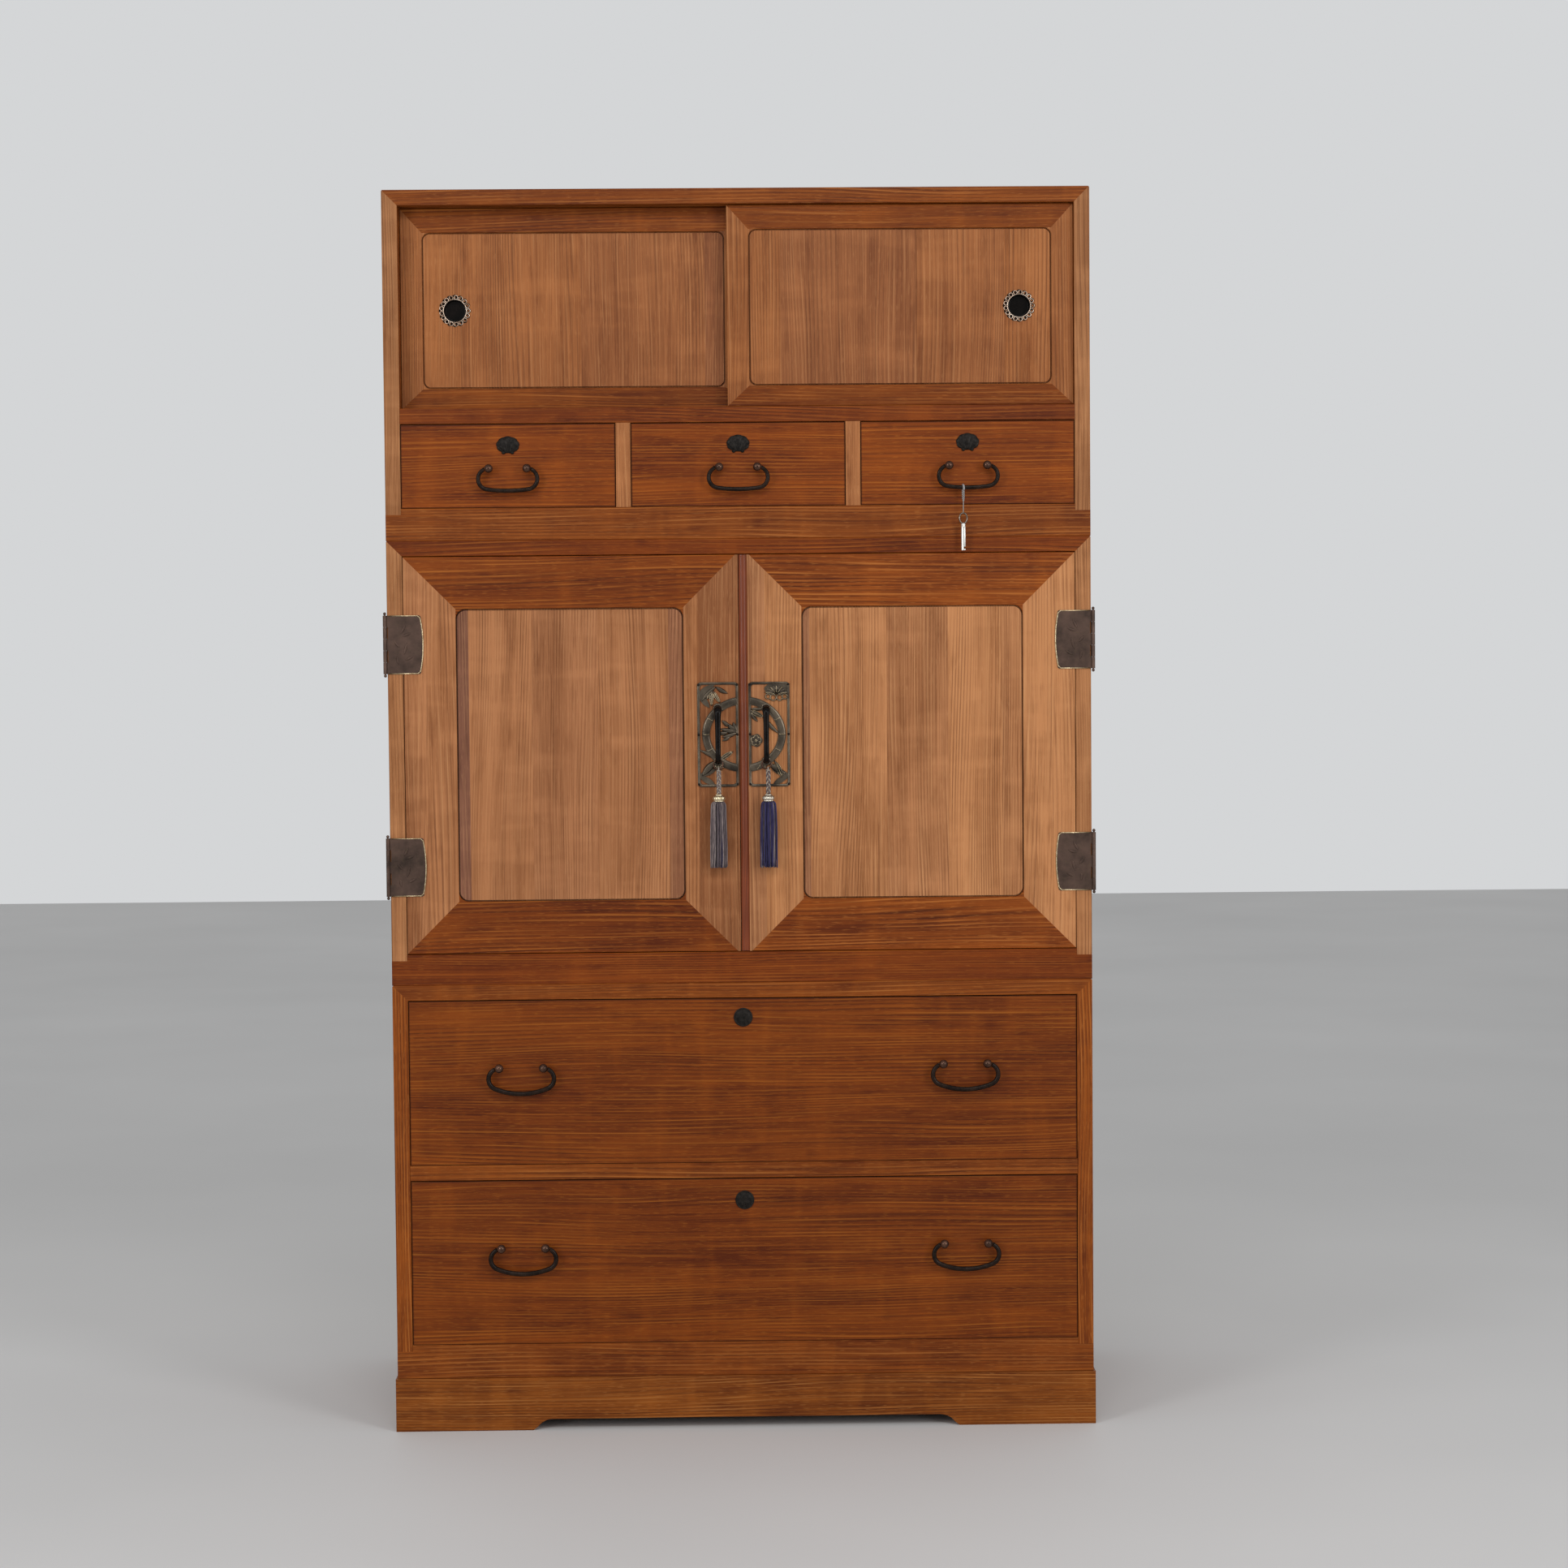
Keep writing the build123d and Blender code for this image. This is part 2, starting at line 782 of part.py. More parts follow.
def bail(x, y, z, spacing, bend, drop, rod, ball):
    # Two end bends and a wide bottom bow, all tangent, with a pin into each post's ball
    half = spacing / 2
    low = drop - bend
    bow = (half * half + low * low - bend * bend) / (2 * (low - bend))
    start = math.asin((ball + ball_gap) / bend)
    meet = math.atan2(half, bow - drop + bend)
    first = (x + half + bend * math.sin(start), z - bend + bend * math.cos(start))
    side = bend_share * meet
    outer = (x + half + bend * math.cos(side), z - bend - bend * math.sin(side))
    joined = (x + half + bend * math.sin(meet), z - bend - bend * math.cos(meet))
    lowest = (x, z - drop)
    far_first, far_outer, far_joined = [(2 * x - point[0], point[1]) for point in (first, outer, joined)]
    spine = Wire(
        [
            upright_arc(first, outer, joined, y),
            upright_arc(joined, lowest, far_joined, y),
            upright_arc(far_joined, far_outer, far_first, y),
        ]
    )
    section = Plane(origin=spine @ 0, z_dir=spine % 0)
    body = sweep(section * Circle(rod), path=spine)
    pin_start = x + half + bail_pin_seat
    pin_end = first[0] + rod / 2
    body += rod_x(pin_start, pin_end, y, z, bail_pin_radius)
    body += rod_x(2 * x - pin_end, 2 * x - pin_start, y, z, bail_pin_radius)
    return body


def upright_arc(start, middle, end, y):
    points = [(point[0], y, point[1]) for point in (start, middle, end)]
    return Edge.make_three_point_arc(*points)


def post(x, z, ball, face, front):
    # A ball on a shank that goes through the drawer front and is clenched behind it
    y = face - post_standoff
    head = bored_ball(x, y, z, ball)
    shank = rod_y(x, y + ball / 2, face + front + clench_thickness, z, shank_radius)
    clench = block(
        x - clench_width / 2,
        x + clench_width / 2,
        face + front,
        face + front + clench_thickness,
        z - clench_height / 2,
        z + clench_height / 2,
    )
    return head + shank + clench


def bored_ball(x, y, z, ball):
    # Turned round the bail's axis, with a blind bore from each side
    bore = bail_pin_radius + bail_pin_fit
    reach = math.sqrt(ball * ball - bore * bore)
    web = ball_web / 2
    corners = [(reach, bore), (web, bore), (web, 0), (-web, 0), (-web, bore), (-reach, bore)]
    places = [(corner[0], 0, corner[1]) for corner in corners]
    edges = [Edge.make_line(start, end) for start, end in zip(places, places[1:])]
    edges.append(Edge.make_three_point_arc(places[-1], (0, 0, ball), places[0]))
    return Pos(x, y, z) * revolve(Face(Wire(edges)), Axis.X)


def shell_cover(x, y, z):
    # Ridged shell: five rounded lobes fanned out from its root
    root = z - lobe_root_drop
    shape = Pos(x, y, root) * Sphere(lobe_base)
    for number in range(lobe_count):
        angle = lobe_fan * (2 * number / (lobe_count - 1) - 1)
        place = Pos(x, y, root) * Rot(0, angle, 0)
        shape += place * Pos(0, 0, lobe_reach / 2) * Cylinder(lobe_radius, lobe_reach)
        shape += place * Pos(0, 0, lobe_reach) * Sphere(lobe_radius)
    size = 2 * (lobe_reach + lobe_base)
    return shape - block(x - size, x + size, y, y + size, root - size, root + size)


def round_cover(x, y, z):
    dome = (cover_radius * cover_radius + cover_dome * cover_dome) / (2 * cover_dome)
    cap = Pos(x, y - cover_dome + dome, z) * Sphere(dome)
    return cap & rod_y(x, y - cover_dome, y, z, cover_radius)


def drawer(name, x0, x1, z0, z1, face, sizes, bails, cover):
    # x0..z1 is the opening that the drawer fills
    front, side, bottom, back_gap = sizes
    spacing, post_drop, bend, drop, rod, ball = bails["form"]
    cover_shape, cover_drop = cover
    left, right = x0 + drawer_side_gap, x1 - drawer_side_gap
    low, high = z0 + seat_gap, z1 - drawer_top_gap
    middle = (x0 + x1) / 2
    panel = ease(block(left, right, face, face + front, low, high), face, eased_edge)
    post_z = z1 - post_drop
    posts = []
    for place in bails["places"]:
        for sense in (-1, 1):
            posts.append((middle + place + sense * spacing / 2, post_z))
    for x, z in posts:
        panel -= rod_y(x, face, face + front, z, shank_radius + shank_fit)
    cover_z = z1 - cover_drop
    pin_z = cover_z + cover_pin_rise
    panel -= rod_y(middle, face, face + front, cover_z, keyhole_radius)
    slot = keyhole_slot / 2
    panel -= block(middle - slot, middle + slot, face, face + front, cover_z - keyhole_length, cover_z)
    panel -= rod_y(middle, face, face + front / 2, pin_z, cover_pin_radius)
    write(name + "_front", panel)

    start = face + front
    end = lining_y - back_gap
    inside_left, inside_right = left + drawer_lip + side, right - drawer_lip - side
    wall_top = high - drawer_side_drop
    left_wall = block(left + drawer_lip, inside_left, start, end, low, wall_top)
    right_wall = block(inside_right, right - drawer_lip, start, end, low, wall_top)
    back_wall = block(inside_left, inside_right, end - side, end, low, wall_top)
    floor = block(inside_left, inside_right, start, end - side, low + bottom_raise, low + bottom_raise + bottom)
    write(name + "_box", left_wall, right_wall, back_wall, floor)

    lock_z = z1 - lock_below_top - lock_height
    half_lock = lock_width / 2
    lock = block(middle - half_lock, middle + half_lock, start, start + lock_depth, lock_z, lock_z + lock_height)
    pin = rod_y(middle, face - cover_gap - cover_pin_length, face + front / 2, pin_z, cover_pin_radius)
    hardware = [post(x, z, ball, face, front) for x, z in posts]
    write(name + "_hardware", *hardware, lock, pin)

    cover_y = face - cover_gap
    hole = rod_y(middle, cover_y - cover_pin_length - pin_fit, cover_y, pin_z, cover_pin_radius + pin_fit)
    write(name + "_key_cover", cover_shape(middle, cover_y, cover_z) - hole)

    for place, bail_name in zip(bails["places"], bails["names"]):
        shape = bail(middle + place, face - post_standoff, post_z, spacing, bend, drop, rod, ball)
        write(name + "_" + bail_name, shape)


def small_spans():
    width = (2 * inner_half - 2 * divider) / 3
    starts = [number * (width + divider) - inner_half for number in range(3)]
    return [(start, start + width) for start in starts]


def tray(z0):
    y0 = door_back + tray_setback
    y1 = lining_y - tray_back_gap
    half = inner_half - tray_side_play
    wall = tray_wall
    z1 = z0 + tray_height
    side = block(half - wall, half, y0, y1, z0, z1)
    back = block(wall - half, half - wall, y1 - wall, y1, z0, z1)
    floor = block(wall - half, half - wall, y0 + wall, y1 - wall, z0, z0 + tray_bottom)
    dip = tray_dip_width / 2
    dip_cut = rounded(-dip, dip, z1 - tray_dip, z1 + tray_dip, tray_dip_round)
    face = rounded_free(wall - half, half - wall, z0, z1) - dip_cut
    return [side, mirrored(side), back, floor, upright(face, y0, y0 + wall)]


def rounded_free(x0, x1, z0, z1):
    return outline((x0, z0), (x1, z0), (x1, z1), (x0, z1))


def tray_levels():
    pitch = door_room / tray_count
    floor = middle_z + middle_rail + rail_step
    return [floor + tray_runner_raise + number * pitch for number in range(tray_count)]


# Key

def key(x, y, z):
    # An oval bow, a tube for a shank and a small bit; the string is tied to the bow's top at z
    centre = z - bow_half_height
    outer = Ellipse(bow_half_width, bow_half_height)
    inner = Ellipse(bow_half_width - 2 * bow_wire, bow_half_height - 2 * bow_wire)
    bow = upright(Pos(x, centre) * (outer - inner), y - bow_wire, y + bow_wire)
    top = centre - bow_half_height + bow_wire
    bottom = top - key_shank
    shank = rod_z(x, y, bottom, top, key_shank_radius)
    bore = rod_z(x, y, bottom, bottom + key_bore_depth, key_bore_radius)
    reach = key_shank_radius + key_bit_reach
    half = key_bit_thickness / 2
    bit = block(x - half, x + half, y - reach, y - key_bore_radius, bottom, bottom + key_bit_height)
    return bow + shank + bit - bore


# Write every piece

os.makedirs("parts", exist_ok=True)

write("plinth", *plinth())
write("bottom_chest_case", *case_boards(low_z, low_height, low_rail))
write("middle_chest_case", *case_boards(middle_z, middle_height, middle_rail))
high_boards = case_boards(high_z, high_height, high_rail)
for cut in grooves(cupboard_z1, cupboard_z1 + high_groove):
    high_boards[0] = high_boards[0] - cut
write("top_chest_case", *high_boards)

low_floor = low_z + low_rail + rail_step
middle_floor = middle_z + middle_rail + rail_step
high_floor = high_z + high_rail + rail_step
write("bottom_chest_back", *back_boards(low_floor, middle_z - board))
write("middle_chest_back", *back_boards(middle_floor, high_z - board))
write("top_chest_back", *back_boards(high_floor, top_z - board))

low_shelf_z = low_floor + large_drawer_room
low_shelf = block(-inner_half, inner_half, front_y, lining_y, low_shelf_z, low_shelf_z + board)
write("bottom_chest_shelf", ease(low_shelf, front_y, eased_edge))

shelf = block(-inner_half, inner_half, front_y, lining_y, shelf_z, cupboard_z0)
for cut in grooves(cupboard_z0 - low_groove, cupboard_z0):
    shelf = shelf - cut
partitions = [ease(shelf, front_y, eased_edge)]
for span in small_spans()[:-1]:
    upstand = block(span[1], span[1] + divider, front_y, lining_y, high_floor, shelf_z)
    partitions.append(ease(upstand, front_y, eased_edge))
write("top_chest_partitions", *partitions)

runners = []
trays = []
for level in tray_levels():
    x0 = inner_half - tray_runner_width
    y0 = door_back + tray_setback
    strip = block(x0, inner_half, y0, lining_y - tray_back_gap, level, level + tray_runner_height)
    runners += [strip, mirrored(strip)]
    trays += tray(level + tray_runner_height + seat_gap)
write("tray_runners", *runners)
write("kimono_trays", *trays)

fixed_leaves = []
right_leaves = []
for level in hinge_levels:
    fixed_leaves += [case_leaf(level), mirrored(case_leaf(level))]
    fixed_leaves += [hinge_pin(level), mirrored(hinge_pin(level))]
    right_leaves.append(door_leaf(level))
write("case_hinges", *fixed_leaves)
write("right_door_hinges", *right_leaves)
write("left_door_hinges", *[mirrored(shape) for shape in right_leaves])
write("right_door_bead", meeting_bead())

for side in ("left", "right"):
    hinged_door(side)
    write(side + "_lock_plate", lock_plate(side))
    write(side + "_door_handle", *door_handle(side))
    cord, cord_end = hung_cord(
        handle_x[side],
        ring_y,
        ring_foot,
        tassel_cord_radius,
        tassel_cord_length,
        tassel_cord_bow,
        tassel_ring_wire,
    )
    write(side + "_tassel_cord", cord)
    write(side + "_tassel", *tassel(handle_x[side], ring_y, cord_end))
    sliding_door(side)

small_sizes = (small_front, small_side, small_bottom, small_drawer_back_gap)
small_form = (small_post_spacing, small_post_drop, small_bail_bend, small_bail_drop, small_rod, small_ball)
small_bails = {"form": small_form, "places": [0], "names": ["bail"]}
for name, span in zip(("left", "centre", "right"), small_spans()):
    drawer(
        name + "_small_drawer",
        span[0],
        span[1],
        high_floor,
        shelf_z,
        front_y,
        small_sizes,
        small_bails,
        (shell_cover, small_cover_drop),
    )

large_sizes = (large_front, large_side, large_bottom, large_drawer_back_gap)
large_form = (large_post_spacing, large_post_drop, large_bail_bend, large_bail_drop, large_rod, large_ball)
large_bail_out = inner_half - large_bail_inset
large_bails = {
    "form": large_form,
    "places": [-large_bail_out, large_bail_out],
    "names": ["left_bail", "right_bail"],
}
large_floors = {"lower": low_floor, "upper": low_shelf_z + board}
cover_drops = {"lower": lower_cover_drop, "upper": upper_cover_drop}
for name, floor in large_floors.items():
    drawer(
        name + "_large_drawer",
        -inner_half,
        inner_half,
        floor,
        floor + large_drawer_room,
        front_y,
        large_sizes,
        large_bails,
        (round_cover, cover_drops[name]),
    )

key_x = (small_spans()[2][0] + small_spans()[2][1]) / 2 + key_shift
key_y = front_y - post_standoff
key_pivot = shelf_z - small_post_drop - small_bail_drop
string, string_end = hung_cord(
    key_x,
    key_y,
    key_pivot,
    string_radius,
    string_length,
    string_bow,
    small_rod,
)
write("key_string", string)
write("key", key(key_x, key_y, string_end))
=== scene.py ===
import random
from math import asin, atan2, cos, exp, pi, radians, sin, sqrt

import bmesh
import bpy
from mathutils import Matrix, Vector


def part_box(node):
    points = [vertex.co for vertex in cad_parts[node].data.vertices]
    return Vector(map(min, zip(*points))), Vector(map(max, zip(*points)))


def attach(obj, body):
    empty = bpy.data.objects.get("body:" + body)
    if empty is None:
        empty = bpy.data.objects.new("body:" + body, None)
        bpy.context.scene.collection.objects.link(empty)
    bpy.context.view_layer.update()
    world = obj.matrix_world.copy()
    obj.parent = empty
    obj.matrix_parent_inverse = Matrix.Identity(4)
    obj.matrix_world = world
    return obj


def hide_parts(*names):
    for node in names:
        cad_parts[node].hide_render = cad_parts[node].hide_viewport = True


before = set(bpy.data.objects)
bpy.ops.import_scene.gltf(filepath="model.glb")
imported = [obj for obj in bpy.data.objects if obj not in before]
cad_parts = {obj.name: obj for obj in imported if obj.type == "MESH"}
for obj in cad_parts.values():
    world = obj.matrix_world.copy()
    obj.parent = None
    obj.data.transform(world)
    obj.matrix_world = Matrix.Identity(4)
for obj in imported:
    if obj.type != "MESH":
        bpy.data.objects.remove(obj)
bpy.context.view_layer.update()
scene = bpy.context.scene
random.seed(7)

# The chest's front planes, the doors' meeting edge and the middle of the lock plates
frontY = -0.21185
doorFaceY = -0.21215
plateFrontY = -0.21375
meetingX = 0.00485
plateZ = 0.99675
sides = ("left", "right")


# Short calls for the nodes of one tree; an input is a value or another node's socket

class Graph:
    def __init__(self, tree):
        self.tree = tree

    def feed(self, sockets, inputs):
        for key, value in inputs.items():
            if isinstance(value, bpy.types.NodeSocket):
                self.tree.links.new(value, sockets[key])
            else:
                sockets[key].default_value = value

    def add(self, kind, inputs=None, **settings):
        node = self.tree.nodes.new("ShaderNode" + kind)
        for key, value in settings.items():
            setattr(node, key, value)
        self.feed(node.inputs, inputs or {})
        return node

    def use(self, group, inputs):
        return self.add("Group", inputs, node_tree=group).outputs

    def math(self, operation, first, second=0.0, clamp=False):
        return self.add("Math", {0: first, 1: second}, operation=operation, use_clamp=clamp).outputs[0]

    def times(self, first, second):
        return self.math("MULTIPLY", first, second)

    def plus(self, first, second):
        return self.math("ADD", first, second)

    def minus(self, first, second, clamp=False):
        return self.math("SUBTRACT", first, second, clamp)

    def vector(self, operation, first, second):
        return self.add("VectorMath", {0: first, 1: second}, operation=operation).outputs[0]

    def scaled(self, point, share):
        return self.add("VectorMath", {0: point, "Scale": share}, operation="SCALE").outputs[0]

    def parts(self, point):
        return self.add("SeparateXYZ", {0: point}).outputs

    def joined(self, parts):
        return self.add("CombineXYZ", parts).outputs[0]

    def mix(self, factor, first, second):
        return self.add("Mix", {0: factor, 6: first, 7: second}, data_type="RGBA").outputs[2]

    def mixPoint(self, factor, first, second):
        return self.add("Mix", {0: factor, 4: first, 5: second}, data_type="VECTOR").outputs[1]

    def remap(self, value, low, high, newLow=0.0, newHigh=1.0):
        return self.add("MapRange", {0: value, 1: low, 2: high, 3: newLow, 4: newHigh}, clamp=True).outputs[0]

    def noise(self, point, scale, detail=1.0, roughness=0.5, output=0):
        place = self.vector("MULTIPLY", point, scale)
        inputs = {"Vector": place, "Scale": 1.0, "Detail": detail, "Roughness": roughness}
        return self.add("TexNoise", inputs).outputs[output]

    def bump(self, height, strength, distance):
        return self.add("Bump", {"Strength": strength, "Distance": distance, "Height": height}).outputs[0]


def newGroup(name, inputs, outputs):
    # An input's kind follows from its value
    tree = bpy.data.node_groups.new(name, "ShaderNodeTree")
    for key, value in inputs.items():
        kind = {3: "Vector", 4: "Color"}[len(value)] if isinstance(value, tuple) else "Float"
        socket = tree.interface.new_socket(key, in_out="INPUT", socket_type="NodeSocket" + kind)
        socket.default_value = value
    for key, kind in outputs.items():
        tree.interface.new_socket(key, in_out="OUTPUT", socket_type="NodeSocket" + kind)
    return Graph(tree), tree.nodes.new("NodeGroupInput").outputs, tree.nodes.new("NodeGroupOutput").inputs


def newMaterial(name):
    material = bpy.data.materials.new(name)
    material.use_nodes = True
    material.node_tree.nodes.clear()
    nodes = Graph(material.node_tree)
    shader = nodes.add("BsdfPrincipled")
    nodes.add("OutputMaterial", {0: shader.outputs[0]})
    return material, nodes, shader.inputs, nodes.add("TexCoord").outputs["Object"]


# Woods

crossWood = {
    "Light": (0.25, 0.06, 0.0048, 1), "Dark": (0.1, 0.0178, 0.0008, 1), "Line": (0.046, 0.0078, 0.0006, 1),
    "Fleck": (0.46, 0.165, 0.034, 1), "Spacing": 205.0, "LineAmount": 0.62, "FleckAmount": 0.5, "Bands": 0.36,
}
uprightWood = {
    "Light": (0.5, 0.215, 0.084, 1), "Dark": (0.24, 0.085, 0.026, 1), "Line": (0.12, 0.038, 0.012, 1),
    "Fleck": (0.64, 0.34, 0.15, 1), "Spacing": 250.0, "LineAmount": 0.6, "FleckAmount": 0.3, "Bands": 0.3,
}
paleWood = {
    "Light": (0.66, 0.5, 0.33, 1), "Dark": (0.47, 0.33, 0.2, 1), "Line": (0.33, 0.21, 0.12, 1),
    "Fleck": (0.72, 0.6, 0.44, 1), "Spacing": 120.0, "LineAmount": 0.35, "FleckAmount": 0.2, "Bands": 0.2,
}
redWood = {
    "Light": (0.25, 0.058, 0.019, 1), "Dark": (0.12, 0.026, 0.009, 1), "Line": (0.05, 0.01, 0.003, 1),
    "Fleck": (0.26, 0.07, 0.025, 1), "Spacing": 300.0, "LineAmount": 0.4, "FleckAmount": 0.1, "Bands": 0.2,
}
slidingWood = {
    **uprightWood,
    "Light": (0.365, 0.13, 0.039, 1), "Dark": (0.172, 0.049, 0.0115, 1), "Fleck": (0.56, 0.27, 0.11, 1),
}
colorKeys = ("Light", "Dark", "Line", "Fleck")
amountKeys = ("LineAmount", "FleckAmount", "Bands")
tinted = {"Light": (0.25, 0.105, 0.062, 1), "Dark": (0.13, 0.05, 0.03, 1)}
# Near-black of the painted shade along the drawer fronts' edges, standing in for the shadow in the gaps round
# them
edgeShadeColor = (0.02, 0.005, 0.002, 1)
grain = {"across": (0, 2, 1), "up": (2, 0, 1), "deep": (1, 0, 2)}


def makeWoodGroup():
    nodes, source, target = newGroup(
        "woodFigure", {"Point": (0, 0, 0), "Seed": 0.0, "Tone": 0.0, **crossWood},
        {"Color": "Color", "Roughness": "Float", "Normal": "Vector"},
    )
    seeded = nodes.vector("ADD", source["Point"], nodes.scaled((7.13, 3.37, 5.71), source["Seed"]))
    wave = nodes.noise(seeded, (1.4, 6.0, 6.0), 1.5, output=1)
    centred = nodes.vector("SUBTRACT", wave, (0.5, 0.5, 0.5))
    warped = nodes.vector("ADD", seeded, nodes.vector("MULTIPLY", centred, (0.0, 0.03, 0.03)))
    axes = nodes.parts(warped)
    across = nodes.plus(axes[1], nodes.times(axes[2], 0.83))
    crowd = nodes.times(nodes.noise(warped, (0.9, 14.0, 14.0)), 9.0)
    angle = nodes.times(nodes.plus(nodes.times(across, source["Spacing"]), crowd), 6.2832)
    # Dark growth lines, and pale ones between them, both broken up by noise
    ring = nodes.math("POWER", nodes.remap(nodes.math("SINE", nodes.plus(angle, 2.3)), -1.0, 1.0), 3.0)
    ring = nodes.times(ring, nodes.remap(nodes.noise(warped, (3.2, 44.0, 44.0), 2.0), 0.4, 0.66))
    pale = nodes.math("POWER", nodes.remap(nodes.math("SINE", angle), -1.0, 1.0), 5.0)
    pale = nodes.times(pale, nodes.remap(nodes.noise(warped, (5.5, 120.0, 120.0)), 0.46, 0.66))
    fleck = nodes.remap(nodes.noise(warped, (80.0, 820.0, 820.0), 0.0), 0.62, 0.76)
    pale = nodes.times(nodes.math("MAXIMUM", pale, nodes.times(fleck, 0.4)), source["FleckAmount"])
    # The tone leads from the dark colour to the light one
    broad = nodes.remap(nodes.noise(warped, (0.6, 32.0, 32.0), 3.0, 0.6), 0.25, 0.75, -1.0, 1.0)
    patch = nodes.remap(nodes.noise(seeded, (4.0, 11.0, 11.0), 3.0, 0.6), 0.25, 0.75, -0.32, 0.32)
    ripple = nodes.remap(nodes.noise(warped, (30.0, 7.0, 7.0), 2.0), 0.5, 0.75, 0.0, 0.3)
    smudge = nodes.remap(nodes.noise(warped, (17.0, 60.0, 60.0), 2.0), 0.56, 0.76)
    fine = nodes.noise(warped, (4.0, 620.0, 620.0), 1.5, 0.6)
    tone = nodes.plus(nodes.times(broad, source["Bands"]), source["Tone"])
    tone = nodes.plus(nodes.plus(tone, patch), ripple)
    tone = nodes.minus(tone, nodes.times(smudge, source["Bands"]))
    tone = nodes.math("ADD", tone, nodes.remap(fine, 0.24, 0.76, 0.16, 0.92), clamp=True)
    color = nodes.mix(tone, source["Dark"], source["Light"])
    color = nodes.mix(nodes.times(ring, source["LineAmount"]), color, source["Line"])
    nodes.feed(target, {
        "Color": nodes.mix(pale, color, source["Fleck"]),
        "Roughness": nodes.remap(fine, 0.2, 0.8, 0.4, 0.58),
        "Normal": nodes.bump(nodes.minus(fine, nodes.times(ring, 0.6)), 0.35, 0.0004),
    })
    return nodes.tree


def makeBoxGroup():
    # Inside is 1 in the box; the edge mask for painted shade falls from 1 at its outline, seen from the
    # front, to 0 a width further in
    nodes, source, target = newGroup(
        "boxMasks", {"Point": (0, 0, 0), "Low": (0, 0, 0), "High": (1, 1, 1), "Width": 0.002},
        {"Inside": "Float", "EdgeShade": "Float"},
    )
    above = nodes.vector("SUBTRACT", source["Point"], source["Low"])
    below = nodes.vector("SUBTRACT", source["High"], source["Point"])
    least = nodes.parts(nodes.vector("MINIMUM", above, below))
    nearest = nodes.math("MINIMUM", least[0], least[2])
    nodes.feed(target, {
        "Inside": nodes.math("GREATER_THAN", nodes.math("MINIMUM", nearest, least[1]), 0.0),
        "EdgeShade": nodes.minus(1.0, nodes.math("DIVIDE", nearest, source["Width"]), clamp=True),
    })
    return nodes.tree


def makeMitreGroup():
    sizes = {"Left": -0.5, "Right": 0.5, "Bottom": 0.0, "Top": 1.0}
    members = {"Stile": 0.03, "TopRail": 0.03, "BottomRail": 0.03}
    nodes, source, target = newGroup(
        "mitredFrame", {"Point": (0, 0, 0), **sizes, **members}, {"Upright": "Float", "Field": "Float"},
    )
    axes = nodes.parts(source["Point"])
    fromLeft, fromRight = nodes.minus(axes[0], source["Left"]), nodes.minus(source["Right"], axes[0])
    sideways = nodes.math("DIVIDE", nodes.math("MINIMUM", fromLeft, fromRight), source["Stile"])
    fromTop = nodes.math("DIVIDE", nodes.minus(source["Top"], axes[2]), source["TopRail"])
    fromBottom = nodes.math("DIVIDE", nodes.minus(axes[2], source["Bottom"]), source["BottomRail"])
    upward = nodes.math("MINIMUM", fromTop, fromBottom)
    inStile, beyondStile = nodes.math("LESS_THAN", sideways, 1.0), nodes.math("GREATER_THAN", sideways, 1.0)
    nodes.feed(target, {
        "Upright": nodes.times(nodes.math("LESS_THAN", sideways, upward), inStile),
        "Field": nodes.times(beyondStile, nodes.math("GREATER_THAN", upward, 1.0)),
    })
    return nodes.tree


def makePatinaGroup():
    nodes, source, target = newGroup(
        "patina", {"Point": (0, 0, 0), "Size": 0.01, "Relief": 0.3},
        {"Mottle": "Float", "Spot": "Float", "Normal": "Vector"},
    )
    point = nodes.scaled(source["Point"], nodes.math("DIVIDE", 1.0, source["Size"]))
    mottle = nodes.noise(point, (1.0, 1.0, 1.0), 4.0, 0.6)
    grit = nodes.noise(point, (7.0, 7.0, 7.0), 2.0, 0.6)
    nodes.feed(target, {
        "Mottle": nodes.remap(mottle, 0.35, 0.65),
        "Spot": nodes.remap(grit, 0.55, 0.75),
        "Normal": nodes.bump(nodes.plus(mottle, nodes.times(grit, 0.4)), source["Relief"], 0.0003),
    })
    return nodes.tree


woodGroup = makeWoodGroup()
boxGroup = makeBoxGroup()
mitreGroup = makeMitreGroup()
patinaGroup = makePatinaGroup()


def shaded(wood, red, green=None, blue=None):
    # The same wood, darker, lighter or warmer
    shares = (red, green or red, blue or red)
    colors = {key: (*(part * share for part, share in zip(wood[key], shares)), 1) for key in colorKeys}
    return {**wood, **colors}


